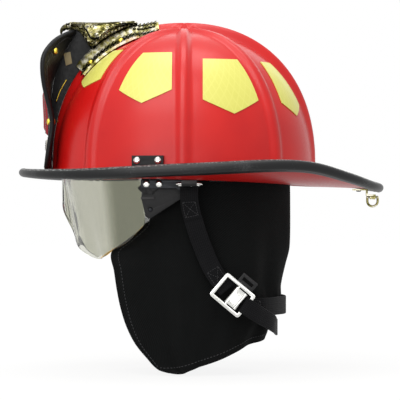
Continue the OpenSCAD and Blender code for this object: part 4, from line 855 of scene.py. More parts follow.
# The leather shield, in mm: its offset and outline by the share v of its height, and u across it
FOOT_X, FOOT_Z, TALL, HALF = 145.3, 2.4, 148.6, 62.0
MIDDLE = [(0, 0), (0.35, 0), (0.58, 0), (0.72, -5), (0.86, -14.5), (1, -26)]
SIDE = [(0, 2), (0.14, -1), (0.34, -5), (0.5, -0.5), (0.6, 2.5), (0.71, 4), (0.8, 3), (0.88, -3),
    (0.95, -12.5), (1, -25)]
OUTLINE = [(0, 0.6), (0.1, 0.68), (0.33, 0.75), (0.5, 0.86), (0.66, 0.98), (0.75, 1), (0.84, 0.88),
    (0.92, 0.62), (0.97, 0.33), (1, 0.14)]


def shield_at(v, u, out=0.0):
    """A point of the shield: v up it, and u across it from its right edge at -1 to its left one at 1."""
    v, u = np.broadcast_arrays(np.asarray(v, float), np.asarray(u, float))
    m, e = curve(MIDDLE, v), curve(SIDE, v)
    return np.stack([FOOT_X + m + (e - m) * u * u + out, u * HALF * curve(OUTLINE, v), FOOT_Z + TALL * v], -1)


def shield_patch(name, vs, half, columns, swell):
    """A panel that lies on the shield; its edges roll over, and its face swells a little."""
    low, high, roll, soft = 2.25, 3.85, 1.6, 9
    v, u = np.meshgrid(vs, np.linspace(-1, 1, columns), indexing="ij")
    k = np.linspace(0, 1, len(vs))[:, None] * np.ones_like(u)
    near = np.minimum(np.minimum(k, 1 - k) * (vs[0] - vs[-1]) * TALL, (1 - np.abs(u)) * half * HALF * 0.9)
    edge = (high - low) * 0.55 * (1 - np.clip(near / roll, 0, 1)) ** 2
    face = high - edge + swell * ease(near / soft)
    wide = half * (1 - 0.05 * (2 * k - 1) ** 8)
    uv = np.stack([u * half * HALF, v * TALL], -1).reshape(-1, 2)
    return smooth(slab_object(name, shield_at(v, u * wide, face), shield_at(v, u * wide, low), uv), 60)


def stitch_row(name, line, outs, material, pitch=3.4, wide=0.75):
    """A row of stitches along a line, each one a thread across the surface that outs names."""
    places, ways, s = along(line, pitch)
    outs = at_run(s, run_of(line), np.broadcast_to(np.asarray(outs, float), np.shape(line)))
    o = repeat(name, places, unit(outs), ways, STITCH, (pitch * 0.78, wide, wide), material, 0.06, 0.05)
    return done(o, None)


def shield_line(inset, out):
    """The line round the shield's sides and top, inset from its edge and moved out of the leather."""
    v = np.linspace(0.012, 1 - inset / TALL, 90)
    u = np.maximum(0.0, 1 - inset / (HALF * curve(OUTLINE, v)))
    side = shield_at(v, u, out)
    cross = shield_at(np.full(9, v[-1]), np.linspace(u[-1], -u[-1], 9), out)
    return np.concatenate([side, cross[1:-1], side[::-1] * np.array([1, -1, 1])])


def build_shield():
    v, u = np.meshgrid(np.linspace(1, 0, 100), np.linspace(-1, 1, 61), indexing="ij")
    ripple, half_thick = 0.25 * np.sin(v * 23 + u * 3) * np.sin(u * 5 + 1), 2.0
    front, back = shield_at(v, u, half_thick + ripple), shield_at(v, u, -half_thick + ripple)
    o = slab_object("shield_leather", front, back, np.stack([u * HALF, v * TALL], -1).reshape(-1, 2))
    done(smooth(o, 60), BLACK_LEATHER, replaces=["leather_shield"])
    done(tube_object("shield_rolled_edge", shield_line(0.4, 0), 2.7, sides=16, outs=(1, 0, 0)), BLACK_LEATHER)
    for side, face in ((1, "front"), (-1, "back")):
        stitch_row("shield_stitches_" + face, shield_line(7.5, 2.1 * side), (side, 0, 0), BLACK_THREAD)
    red = shield_patch("shield_red_panel", np.linspace(0.59, 0.25, 46), 0.5, columns=41, swell=3.0)
    done(red, RED_LEATHER, replaces=["shield_centre_panel"])
    pale = shield_patch("shield_pale_scroll", np.linspace(0.215, 0.13, 20), 0.62, columns=61, swell=0.9)
    done(pale, PALE_LEATHER, replaces=["shield_lower_scroll"])
    for name, top, foot, half, lift, finish in (("red", 0.575, 0.265, 0.455, 4.6, THREAD),
            ("pale", 0.204, 0.141, 0.59, 4.0, BLACK_THREAD)):
        over, down = np.linspace(-half, half, 30), np.linspace(top, foot, 24)
        v = np.concatenate([np.full(30, top), down, np.full(30, foot), down[::-1]])
        u = np.concatenate([over, np.full(24, half), over[::-1], np.full(24, -half)])
        stitch_row(name + "_panel_stitches", shield_at(v, u, lift), (1, 0, 0), finish, 2.6)
    spots = [shield_at(v, u) for v, u in ((0.845, 0.74), (0.845, -0.74), (0.34, 0.82), (0.34, -0.82))]
    for side, face in ((1, "front"), (-1, "back")):
        heads("shield_rivets_" + face, [p + [side * 2.2, 0, 0] for p in spots], [side, 0, 0], RIVET, 7.2, 2.4,
            TURNED_BRASS, replaces=["shield_rivets"])


build_shield()


# The stay, dressed in black leather, with a blank patch sewn on each side and a brass pin along it that gives
# a gold glint line, a painted highlight made as a part
def build_stay():
    o = copy_of("shield_stay", "stay_leather")
    # The leather is turned in under the eagle's neck, so that no light shows between them
    top, shoulder, foot = 0.147, 0.122, 0.1
    for v in o.data.vertices:
        if v.co.z > shoulder and v.co.x < 0.115:
            v.co.x -= 0.008
        elif foot < v.co.z < shoulder and v.co.x < 0.122:
            v.co.x -= 0.003
        if v.co.z > top:
            v.co.z += 0.0045
    soften(o, 1.1, 3)
    done(o, BLACK_LEATHER, replaces=["shield_stay"])
    corners = np.array([(131.0, 0, 128.0), (123.6, 0, 129.5), (128.4, 0, 114.6), (121.6, 0, 117.0)])
    b, a = np.meshgrid(np.linspace(0, 1, 9), np.linspace(0, 1, 9), indexing="ij")
    shares = np.stack([(1 - a) * (1 - b), a * (1 - b), (1 - a) * b, a * b], -1)
    for side, tag in SIDES:
        patch = (shares @ corners)[:, ::side]
        outer, inner = patch + [0, side * 4.15, 0], patch + [0, side * 3.4, 0]
        done(soften(slab_object("stay_patch_" + tag, outer, inner), 0.25, 2), TAN_LEATHER)
        # This brass pin stands in for the gold glint line along the shield's back edge: a painted highlight
        # built as a part
        pin = [(127.8, side * 4.0, 99.5), (131.0, side * 4.1, 94.0), (134.6, side * 4.1, 87.5),
            (139.0, side * 4.0, 75.5)]
        done(tube_object("stay_pin_" + tag, resampled(pin, 24), 0.62), TURNED_BRASS)
        heads("stay_rivet_" + tag, [(136.3, side * 3.45, 54.0)], [0, side, 0], RIVET, 4.2, 1.5, TURNED_BRASS)


build_stay()


# The eagle, cast in brass: a saddle along the comb, a body, folded wings, and a head that holds the shield
def skin_at(x, y, out=0.0):
    """A point of the shell's outside over a place of the plan, moved out along the dome."""
    x, y, out = np.broadcast_arrays(np.asarray(x, float), np.asarray(y, float), np.asarray(out, float))
    p = np.stack([(x - DOME_X) / DOME_L, y / DOME_W], -1)
    z = DOME_H * dome_share(np.minimum(1, np.linalg.norm(p, axis=-1)))
    psi = np.degrees(np.arctan2(p[..., 1], p[..., 0]))
    return dome_at(psi, z, rib_out(psi, z) + out)


EAGLE_BACK, EAGLE_BEAK, EAGLE_TOP = 50.0, 133.3, 161.5
EAGLE_HALF = [(0, 3), (0.15, 8), (0.35, 12), (0.55, 13), (0.66, 11), (0.76, 8.5), (0.86, 8), (0.94, 7),
    (1, 2.5)]
SEAT = [tuple(skin_at(x, 0, 5.8)[[0, 2]]) for x in range(46, 107, 6)]
NECK = [(101, float(curve(SEAT, 101))), (106, 138.5), (112, 149), (119, 153.2), (126, 153.6), (133.3, 150)]


def eagle_at(x, a, out=0.0):
    """A point of the eagle's body: x along it, and the angle a from its top, positive to the left."""
    a = np.radians(np.asarray(a, float))
    x, a, out = np.broadcast_arrays(np.asarray(x, float), a, np.asarray(out, float))
    hw = curve(EAGLE_HALF, (x - EAGLE_BACK) / (EAGLE_BEAK - EAGLE_BACK))
    lo = np.where(x < 101, curve(SEAT, x), curve(NECK, x)) + 0.3
    hi = EAGLE_TOP - np.maximum(0, 54 - x) * 0.5 - np.maximum(0, x - 127) * 0.7
    s, c = np.sin(a), np.cos(a)
    wide = np.sign(s) * np.abs(s) ** 0.8 * (hw + out)
    rise = np.sign(c) * np.abs(c) ** 0.75 * ((hi - lo) / 2 + out * 0.6)
    return np.stack([x, wide, (hi + lo) / 2 + rise], -1)


def eagle_out(x, a):
    """The way out of the eagle's body at x and the angle a."""
    x, a, near, near_degrees = np.asarray(x), np.asarray(a), 0.4, 2
    along_x = eagle_at(x + near, a) - eagle_at(x - near, a)
    round_a = eagle_at(x, a + near_degrees) - eagle_at(x, a - near_degrees)
    return unit(np.cross(round_a, along_x))


def feathers(name, places, outs, ways, size, seed, jitter=0.14, turn=0.14):
    o = repeat(name, places, outs, ways, FEATHER, size, BRASS, jitter, turn, seed)
    return done(o, None)


def build_eagle_core():
    xs, a = np.concatenate([[50.6], np.linspace(51.5, 121, 60)]), np.arange(0, 360, 7.5)
    rows = eagle_at(xs[:, None], a[None, :])
    pts = np.concatenate([rows.reshape(-1, 3), [rows[0].mean(0), rows[-1].mean(0) + [1.5, 0, 0]]])
    o = mesh_object("eagle_core", pts, capped_faces(len(xs), len(a)))
    done(smooth(o, 70), BRASS, replaces=["eagle_body"])


SADDLE_FOOT = 1.75


def saddle_high(x, y):
    """The saddle's height over the shell, fuller towards its front end."""
    return SADDLE_FOOT + (5 - 3.9 * ease((54 - x) / 12)) * (1 - 0.024 * np.abs(y))


def build_saddle():
    x, y = np.meshgrid(np.linspace(27, 106, 80), np.linspace(-17, 17, 35), indexing="ij")
    high = saddle_high(x, y) + 0.35 * np.sin(x * 1.1 + np.abs(y) * 0.6) * ease((x - 40) / 10)
    o = slab_object("eagle_saddle_cast", skin_at(x, y, high), skin_at(x, y, SADDLE_FOOT))
    done(smooth(o, 60), BRASS, replaces=["eagle_saddle"])


def build_saddle_feathers(side, tag):
    """Five rows of small feathers down a flank, of which the upper two end where the body begins."""
    spots, outs, ways = [], [], []
    for row, y in enumerate((2.6, 5.8, 9.0, 12.2, 15.3)):
        for x in np.arange(31 + row * 1.3, 107 if y > 8 else 52, 3.7):
            spots.append(skin_at(x, y * side, saddle_high(x, y) - 0.45))
            outs.append(unit(skin_at(x, y * side, 10) - skin_at(x, y * side, 0)))
            ways.append(unit(skin_at(x - 3, (y + 3.4) * side, 5) - skin_at(x, y * side, 5)))
    feathers("saddle_feathers_" + tag, spots, outs, ways, (6.6, 4.2, 2.0), 3 if side > 0 else 4)


def build_body_feathers(side, tag, rng):
    """Breast and back: short feathers in staggered rows over the body."""
    x, a = [], []
    for row, row_x in enumerate(np.arange(120, 54, -3.6)):
        for angle in np.arange(14 + (row % 2) * 9, 150, 18):
            x.append(row_x + rng.uniform(-0.5, 0.5))
            a.append(side * (angle + rng.uniform(-2, 2)))
    x, a = np.array(x), np.array(a)
    down = unit(np.stack([-1 + 0 * x, 0 * x, -0.25 - 0.3 * (x > 100)], -1))
    feathers("body_feathers_" + tag, eagle_at(x, a, -0.25), eagle_out(x, a), down, (7.2, 4.6, 1.7), 7 + side)


def wing_at(side, t, k):
    """The place x and the angle on the body of a wing's point: t back along the wing, and k down it."""
    high = 40 + 22 * (1 - t) ** 2
    return 108 - 53 * t, side * (high + (62 - 38 * t) * k)


def build_wing(side, tag):
    """The folded wing: a plate on the flank with a thick front edge, and long feathers on it."""
    t, k = np.meshgrid(np.linspace(0, 1, 40), np.linspace(0, 1, 14), indexing="ij")
    x, a = wing_at(side, t, k * (1 - 0.25 * (1 - t) ** 6))
    bulge = 2.3 * np.sin(np.pi * np.clip(k * 0.9 + 0.05, 0, 1)) ** 0.5 * (1 - 0.3 * t) * ease(t * 9 + 0.25)
    over, under = eagle_at(x, a, bulge)[:, ::-side], eagle_at(x, a, -0.8)[:, ::-side]
    done(smooth(slab_object("eagle_wing_" + tag, over, under), 60), BRASS)
    rows = ((0.2, 7, 0.05, 0.055), (0.42, 9, 0.1, 0.06), (0.66, 13, 0.16, 0.075), (0.88, 15, 0.2, 0.09))
    for row, (down, long, start, step) in enumerate(rows):
        t = np.arange(start, 0.93, step)
        x, a = wing_at(side, t, down)
        way = unit([-1.0, 0.0, 0.10 + 0.12 * row])
        feathers("wing_feathers_%s_%d" % (tag, long), eagle_at(x, a, 1.9 * (1 - 0.3 * t)), eagle_out(x, a),
            np.broadcast_to(way, (len(t), 3)), (long, 3.6 + long * 0.08, 1.9), 11 + long, 0.08, 0.05)
    x, a = np.linspace(109, 92, 16), side * np.linspace(78, 118, 16)
    edge = tube_object("wing_edge_" + tag, eagle_at(x, a, 2.2), np.linspace(0.7, 1.5, 16), sides=12,
        outs=eagle_out(x, a))
    done(edge, BRASS)


def build_eagle():
    rng = random.Random(5)
    build_eagle_core()
    build_saddle()
    for side, tag in SIDES:
        build_saddle_feathers(side, tag)
        build_body_feathers(side, tag, rng)
        build_wing(side, tag)


BROW = [(127.5, 3.6, 158.8), (125, 5.4, 159.6), (122, 6.3, 159.9), (118, 6.2, 159.6), (114, 5.6, 159.2)]
JAW = [(120.5, 5.6, 154.6), (125, 4.7, 154.8), (129, 3.4, 154.4), (131.4, 2.5, 152.8)]
SKULL = [(115, 0, 156.0), (119, 0, 156.8), (123, 0, 157.0), (127, 0, 157.0), (130.5, 0, 156.2),
    (133.0, 0, 153.6), (133.9, 0, 150.2), (133.2, 0, 147.4)]
SKULL_WIDE = [(0, 5.2), (1, 6.6), (2, 6.4), (3, 4.8), (4, 3.6), (5, 2.7), (6, 1.5), (7, 0.35)]


def build_head():
    """The head: a domed crown, a brow over each eye, and a beak that hooks down over the shield's top."""
    path, t = resampled(SKULL, 46), np.linspace(0, len(SKULL) - 1, 46)
    for _ in range(3):
        path[1:-1] = (path[:-2] + path[1:-1] * 2 + path[2:]) / 4
    ridge = 1 + 0.12 * np.exp(-((t - 3.1) / 0.16) ** 2)
    wide = curve(SKULL_WIDE, t) * ridge
    head = tube_object("eagle_head", path, wide, sides=28, flat=0.78, outs=(0.35, 0, 1))
    done(head, BRASS)
    for side, tag in SIDES:
        brow = resampled(np.array(BROW) * [1, side, 1], 22)
        thick = 0.35 + 0.95 * np.sin(np.linspace(0.15, 3.0, 22))
        done(tube_object("eagle_brow_" + tag, brow, thick, outs=(0, side, 0.6)), BRASS)
        heads("eagle_eye_" + tag, [(122.6, side * 5.6, 157.9)], [0.3, side, 0.1], RIVET, 2.3, 1.4, BRASS)
        jaw = resampled(np.array(JAW) * [1, side, 1], 18)
        done(tube_object("eagle_jaw_" + tag, jaw, 0.75, sides=8), BRASS)
        places = [(x, side * a) for row, x in enumerate(np.arange(121, 108, -2.4))
            for a in np.arange(20 + (row % 2) * 8, 150, 16)]
        x, a = np.array(places).T
        feathers("neck_feathers_" + tag, eagle_at(x, a, 0.3), eagle_out(x, a),
            np.broadcast_to(unit([-1, 0, -0.35]), (len(x), 3)), (5.4, 3.0, 1.9), 21 + side)


def build_eagle_screws():
    plan = ((97, 13.5), (97, -13.5), (66, 14), (66, -14))
    spots = [skin_at(x, y, 5.9) for x, y in plan]
    outs = [unit(skin_at(x, y, 10) - skin_at(x, y, 0)) for x, y in plan]
    ways = [(1.0, 0, 0.3)] * len(plan)
    o = repeat("eagle_screw_heads", spots, outs, ways, SCREW, (6.6, 6.6, 2.6), TURNED_BRASS)
    done(o, None, replaces=["eagle_screws"])


build_eagle()
build_head()
build_eagle_screws()


# Hard fittings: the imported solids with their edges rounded, in their own finishes
def dress(node, material, width_mm, segments=3, body="helmet"):
    o = soften(copy_of(node, node + "_finish"), width_mm, segments)
    return done(o, material, body, replaces=[node])


for node in ("visor_arm_left", "visor_arm_right", "visor_grips"):
    dress(node, NYLON, 0.5, body="visor")
for node in ("pivot_plate_left", "pivot_plate_right"):
    dress(node, DARK_STEEL, 0.25)
dress("side_brackets", NYLON, 0.9, segments=4)
dress("ring_clips", NYLON, 0.5)
dress("liner_clips", NYLON, 0.4)
dress("hang_plate", BRASS, 0.3)
dress("hang_ring", BRASS, 0.25, body="hanging_ring")
dress("ratchet_housing", NYLON, 0.9, segments=4)
dress("ratchet_knob", NYLON, 0.6, body="knob")
dress("band_keys", NYLON, 0.4)
dress("strap_ring_left", PLATED, 0.2)
dress("strap_ring_right", PLATED, 0.2)
dress("buckle_frame", PLATED, 0.5)
dress("buckle_lever", PLATED, 0.45, body="lever")
dress("strap_keeper", NYLON, 0.4)


# The visor: one thin, clear lens with a crease where it turns to the side. Each column of the table holds its
# upper and its lower place in the plan, from the middle to the left end, and its top and bottom heights.
LENS_FRONT, LENS_T = 133.2, 2.4
LENS = [((0, 0), (-1.5, 0), 2, -33), ((-1, 8), (-4, 7.5), 2, -42), ((-2.5, 15), (-16, 13.5), 2, -62),
    ((-5, 24), (-19.5, 20), 2, -79), ((-11, 39), (-27, 34), 1, -86.5), ((-21, 55), (-39.5, 47), -1, -92.5),
    ((-33, 67), (-46, 57.5), -4, -90.5), ((-44, 77), (-53, 65), -8, -85.5), ((-66, 87), (-75, 78), -6, -74),
    ((-89, 94.5), (-92, 91.5), -5, -57), ((-107, 94.5), (-108, 94.5), -4, -40),
    ((-123, 94.5), (-123, 94.5), -4, -26)]


def lens_at(k, t, out=0.0):
    """A point of the lens: k counts the columns from the middle, negative to the right, and t goes from top
    to bottom. The facet at column 7 is kept sharp, and the other turns are soft."""
    k, t, out = np.broadcast_arrays(np.asarray(k, float), np.asarray(t, float), np.asarray(out, float))
    a, side = np.abs(k), np.where(k < 0, -1.0, 1.0)
    knots = np.array([(c[0][0], c[0][1], c[1][0], c[1][1], c[2], c[3]) for c in LENS], float)
    mirror = knots[1:4] * np.array([1, -1, 1, -1, 1, 1])
    table = np.concatenate([mirror[::-1], knots])
    at = np.arange(-3, len(LENS))
    soft = np.stack([curve(list(zip(at, table[:, i])), a) for i in range(6)], -1)
    flat = np.stack([np.interp(a, np.arange(len(LENS)), knots[:, i]) for i in range(6)], -1)
    near = ease(1 - np.abs(a - 7) / 0.8)[..., None]
    v = soft * (1 - near) + flat * near
    z = v[..., 4] + (v[..., 5] - v[..., 4]) * t
    f = (2 - z) / 88
    x, y = v[..., 0] + (v[..., 2] - v[..., 0]) * f, v[..., 1] + (v[..., 3] - v[..., 1]) * f
    way = unit(np.stack([np.maximum(0.001, x + 100) * 0.6, y, 0 * y], -1))
    p = np.stack([LENS_FRONT + x, y, z], -1) + way * out[..., None]
    return p * np.stack([1 + 0 * side, side, 1 + 0 * side], -1)


def build_lens():
    cols = np.concatenate([-np.linspace(11, 0, 131)[:-1], np.linspace(0, 11, 131)])
    k, t = np.meshgrid(cols, np.linspace(0, 1, 46), indexing="xy")
    o = slab_object("clear_lens", lens_at(k, t, 0.0), lens_at(k, t, -LENS_T))
    # turn marks the side facets for their painted shade, and the next mask marks the stretch of the lower edge
    # that carries a painted highlight
    turn = ease((np.abs(k) - 6.9) / 0.5)
    edge_highlight = ease((t - 0.985) / 0.015) * ease((np.abs(k) - 5.2) / 0.8) * ease((9.4 - np.abs(k)) / 0.6)
    mark_points(o, "side", np.stack([turn, turn]))
    mark_points(o, "edge_highlight", np.stack([edge_highlight, edge_highlight]))
    done(smooth(o, 60), CLEAR, "visor", replaces=["visor_lens"])


build_lens()


# Screws and rivets of the visor, the brackets and the brim, at the places that the part's source gives them
ARM_Y, PIVOT_X, PIVOT_Z = 94.8, -4.0, -14.0
PLATE_Y = ARM_Y + 3 + 3 + 1.4
BRACKET_TURN = 75


def bracket_frame(side):
    """The middle of a bracket's foot on the brim, the way out of its face, and the way along it."""
    at = dome_at(BRACKET_TURN, 8, 0.8) * [1, 1, 0]
    n = unit((dome_at(BRACKET_TURN, 0, 10) - dome_at(BRACKET_TURN, 0, 0)) * [1, 1, 0])
    way, flip = np.array([-n[1], n[0], 0]), np.array([1, side, 1])
    return at * flip, n * flip, way * flip


def build_fasteners():
    for side, tag in SIDES:
        out = [0, side, 0]
        heads("plate_screw_heads_" + tag, [(x, side * (PLATE_Y + 2.5), -13.6) for x in (26, 39)], out, SCREW,
            7.6, 2.6, PLATED, replaces=["plate_screws"])
        heads("visor_rivet_heads_" + tag, [(35.2, side * (ARM_Y + 2.95), z) for z in (-40, -8.3)], out, RIVET,
            5.2, 1.5, DARK_STEEL, "visor", replaces=["visor_rivets"])
        at, n, way = bracket_frame(side)
        heads("bracket_screw_heads_" + tag, [at + n * 5.0 + way * y + [0, 0, 10.5] for y in (-11, 11)], n,
            SCREW, 7.6, 2.4, PLATED, replaces=["bracket_screws"])
        heads("pivot_pin_head_" + tag, [(PIVOT_X, side * (PLATE_Y + 2.4), PIVOT_Z)], out, RIVET, 9.0, 1.6,
            PLATED)
    under_brim = float(brim_at(180, 0.78)[2]) - 4.9
    for y, tag in ((-3, "a"), (3, "b")):
        heads("hang_rivet_" + tag, [(-187.5, y, under_brim)], [0, 0, -1], RIVET, 5.2, 1.4, BRASS,
            replaces=["hang_rivets"], way=(1, 0, 0))


build_fasteners()


# Straps: webbing with rolled selvedges, sewn at its ends
def between(p, steps):
    """A Catmull-Rom line through points, as in the part's source."""
    p = np.asarray(p, float)
    n, out = len(p) - 1, []
    for i in range(n):
        a, b, c, d = p[max(0, i - 1)], p[i], p[i + 1], p[min(n, i + 2)]
        for u in np.arange(steps) / steps:
            bend, turn = 2 * a - 5 * b + 4 * c - d, 3 * b - a - 3 * c + d
            out.append((2 * b + (c - a) * u + bend * u * u + turn * u ** 3) / 2)
    return np.array(out + [p[n]])


def strap_frames(route):
    """A strap's middle line, with the ways across it and out of its face."""
    q = between(route, 12)
    t = unit(np.gradient(q, axis=0))
    away = unit(np.stack([q[:, 0] + 23, q[:, 1], 0 * q[:, 1]], -1))
    across = unit(np.cross(away, t))
    return q, across, np.cross(t, across)


STRAP_WIDTH, STRAP_T = 19.0, 1.8


def strap_object(name, route, width, node):
    """A strap with rounded selvedges along a route."""
    frames = strap_frames(route)
    h, r = width / 2, STRAP_T / 2
    over = [(x, r) for x in np.linspace(-h + r, h - r, 7)]
    selvedge = [(h - r + r * math.cos(a), r * math.sin(a)) for a in (1.0, 0.5, 0, -0.5, -1.0)]
    section = over + selvedge + [(-x, -y) for x, y in over + selvedge]
    done(smooth(swept_object(name, *frames, section), 60), WEBBING, replaces=[node])
    return frames


def strap_point(frames, s, x, out):
    """Points on a strap, s mm along its line, x across it and out from it, and the ways out of its face."""
    q, across, up = frames
    run = run_of(q)
    outs = at_run(s, run, up)
    return at_run(s, run, q) + at_run(s, run, across) * np.asarray(x, float)[:, None] + outs * out, outs


def stitch_box(name, frames, low, high, half, out):
    """A box of stitches with a cross in it, where two layers of a strap are sewn together."""
    box = {"edge": [(low, -half), (high, -half), (high, half), (low, half), (low, -half)],
        "cross_a": [(low, -half), (high, half)], "cross_b": [(low, half), (high, -half)]}
    for tag, corners in box.items():
        s, x = np.concatenate([np.linspace(a, b, 12) for a, b in zip(corners, corners[1:])]).T
        p, outs = strap_point(frames, s, x, out)
        stitch_row(name + "_" + tag, p, outs, BLACK_THREAD, 2.6, 0.6)


LEFT_STRAP = [(-5, 108, -16.5), (-5, 107.5, -27), (-6.5, 103, -39), (-11, 98, -56), (-17, 93, -74),
    (-26, 88.6, -96), (-34, 86.6, -110), (-44.5, 86.3, -123.5)]
RIGHT_STRAP = [(-5, -108, -16.5), (-5, -107.5, -27), (-6.5, -103, -39), (-11, -98, -56), (-17, -93, -74),
    (-26, -89.5, -96), (-40, -88, -116), (-58, -84, -131), (-80, -73, -139.5), (-98, -47, -142),
    (-107, -16, -142.5), (-107, 16, -142.5), (-98, 47, -142), (-85, 70.5, -142), (-74, 79.5, -142),
    (-65, 84.6, -140), (-57, 86.5, -134.5)]
TAIL = [(-61, 96.3, -138.2), (-69.5, 94, -144), (-80, 85, -150.8), (-93.5, 64, -160), (-97, 28, -165),
    (-99, 0, -167), (-96, -28, -165), (-87, -52, -160)]


def fold_over(name, frames, length):
    """The strap's end, turned back over its ring and sewn down on the strap's own face."""
    s = np.linspace(0.5, length, 15)
    q, outs = strap_point(frames, s, 0 * s, 0)
    q = q + outs * ((STRAP_T + 0.1) * ease(s / 6.0))[:, None]
    across = unit(np.cross(outs, unit(np.gradient(q, axis=0))))
    h, r = STRAP_WIDTH / 2 - 0.4, STRAP_T / 2
    a = np.linspace(0, 2 * math.pi, 24, endpoint=False)
    x = (h - r) * np.sign(np.cos(a)) * np.minimum(1, np.abs(np.cos(a)) * 1.6) + r * np.cos(a)
    o = swept_object(name, q, across, outs, np.stack([x, r * np.sin(a)], -1))
    done(smooth(o, 60), WEBBING)


def build_straps():
    sewn, on_face, on_fold = 6.6, 0.5 * STRAP_T + 0.1, 1.5 * STRAP_T + 0.25
    for tag, route in (("left", LEFT_STRAP), ("right", RIGHT_STRAP)):
        name = "chin_webbing_" + tag
        frames = strap_object(name, route, STRAP_WIDTH, "chin_strap_" + tag)
        length = run_of(frames[0])[-1]
        fold_over(name + "_ring_fold", frames, 34)
        stitch_box(name + "_ring", frames, 15, 31, sewn, on_fold)
        stitch_box(name + "_buckle", frames, length - 26, length - 8, sewn, on_face)
    frames = strap_object("chin_webbing_tail", TAIL, STRAP_WIDTH - 1, "strap_tail")
    for name, back in (("tail_end_stitches", 5.0), ("tail_end_stitches_b", 9.0)):
        s = np.full(12, run_of(frames[0])[-1] - back)
        p, outs = strap_point(frames, s, np.linspace(-7, 7, 12), on_face)
        stitch_row(name, p, outs, BLACK_THREAD, 2.4, 0.6)


build_straps()


# The ear and neck lap: two layers of flame cloth, hemmed all round, hanging in soft upright folds
LAP_TOP, LAP_DROP, LAP_X = 3.6, 213.0, -15.0
LAP_WIDE = [(-213, 68), (-170, 72), (-135, 76), (-100, 81), (-50, 85), (4, 86)]
LAP_BACK = [(-213, 72), (-179, 83), (-160, 92), (-140, 101), (-120, 101), (-100, 105), (-80, 110),
    (-30, 112), (4, 112)]
LAP_FRONT = [(-213, 14), (-209, 27), (-196, 40), (-181, 52), (-163, 61), (-144, 67), (-124, 71), (-103, 74),
    (-85, 77), (-74, 63), (-63, 49), (-55, 42), (-20, 42), (4, 42)]
LAP_FOOT = [(0, 34), (0.25, 28), (0.5, 10), (0.75, 1), (0.9, 0), (1, 1)]
# The cloth goes round the nape up to this share of its half length, and then forward, over this many mm
ROUND_NAPE, FORWARD = 0.55, 165.0
HEM, STITCH_IN = 8.0, 6.6


def lap_at(s, t, out=0.0):
    """A point of the lap: s from -1 at its right front edge over 0 at the nape to 1, and t from top down."""
    s, t, out = np.broadcast_arrays(np.asarray(s, float), np.asarray(t, float), np.asarray(out, float))
    side, u = np.where(s < 0, -1.0, 1.0), np.abs(s)
    z = LAP_TOP + (curve(LAP_FOOT, u) - LAP_DROP - LAP_TOP) * t
    w, r, f = curve(LAP_WIDE, z), curve(LAP_BACK, z) + LAP_X, curve(LAP_FRONT, z)
    a = np.radians(90 * np.minimum(1, u / ROUND_NAPE))
    g = np.maximum(0, (u - ROUND_NAPE) / (1 - ROUND_NAPE))
    # The cloth is drawn in at the height of the chin strap, and puckers above and below it
    from_strap = np.abs(z + 140)
    drawn_in = ease(1 - from_strap / 24)
    fold = 2.5 * np.sin(np.radians(s * 1260)) * ease(t * 2.2) * (1 - 0.6 * drawn_in)
    fold = fold * np.where(u > 0.97, 0.3, 1)
    small = 0.55 * np.sin(s * 47 + 2.2 * np.sin(z / 31)) * ease(t * 1.6)
    smaller = 0.35 * np.sin(s * 23 - z / 19.0) * ease(t * 2)
    pucker = 0.5 * np.sin(s * 118) * drawn_in * np.exp(-((from_strap - 14) / 9) ** 2)
    tuck = 7 + 15 * ease((z + 100) / 13) * ease((-44 - z) / 10)
    x = LAP_X - r * np.cos(a) + (f - LAP_X) * g
    y = side * (w * np.sin(a) - tuck * g * g)
    n = unit(np.stack([-np.cos(a) * w, side * np.sin(a) * r, 0 * z], -1))
    return np.stack([x, y, z], -1) + n * (fold + small + smaller + pucker + out)[..., None]


def lap_edge_mm(s, t):
    """How far in mm a point is from the lap's lower or front edge."""
    u = np.abs(s)
    low = (1 - t) * (LAP_DROP + LAP_TOP - curve(LAP_FOOT, u))
    front = (1 - u) * FORWARD
    return np.minimum(low, front)


def build_lap():
    down = np.concatenate([np.linspace(0, 0.93, 88)[:-1], np.linspace(0.93, 1, 17)])
    s, t = np.meshgrid(-np.linspace(-1, 1, 361), down, indexing="xy")
    d = lap_edge_mm(s, t)
    swell = 0.55 * ease((HEM + 0.8 - d) / 1.2) - 0.5 * np.exp(-((d - HEM + 1.2) / 0.7) ** 2)
    half = 1.15 + swell
    outer, inner = lap_at(s, t, half), lap_at(s, t, -half)
    uv = np.stack([s * 320, t * 200], -1).reshape(-1, 2)
    o = slab_object("ear_lap_cloth", outer, inner, uv)
    soften(o, 0.5, 2, 60)
    done(o, CLOTH, replaces=["ear_lap"])
    low_s = np.linspace(-0.955, 0.955, 420)
    low_t = 1 - STITCH_IN / (LAP_DROP + LAP_TOP - curve(LAP_FOOT, np.abs(low_s)))
    front_t = np.linspace(0.06, 0.968, 160)
    rows = [("foot", low_s, low_t)]
    rows += [(tag, side * (1 - STITCH_IN / FORWARD) + 0 * front_t, front_t) for side, tag in SIDES[::-1]]
    for tag, a, b in rows:
        n = unit(lap_at(a, b, 1) - lap_at(a, b, 0))
        stitch_row("lap_hem_stitches_" + tag, lap_at(a, b, 1.25), n, BLACK_THREAD, 3.6, 0.7)
    mid = lap_at(s, t)
    cells = 0.5 * np.linalg.norm(np.cross(mid[1:, 1:] - mid[:-1, :-1], mid[1:, :-1] - mid[:-1, 1:]), axis=-1)
    return o, float(cells.sum())


def build_snaps():
    for i in range(5):
        s = 0.21 * (i - 2)
        p, q = lap_at(s, 0.04, 1.2), lap_at(s, 0.04, 5)
        heads("lap_snap_%d" % (i + 1), [p], unit(q - p), RIVET, 10.0, 2.2, DARK_STEEL,
            replaces=["lap_snaps"])


LAP, LAP_AREA = build_lap()
build_snaps()


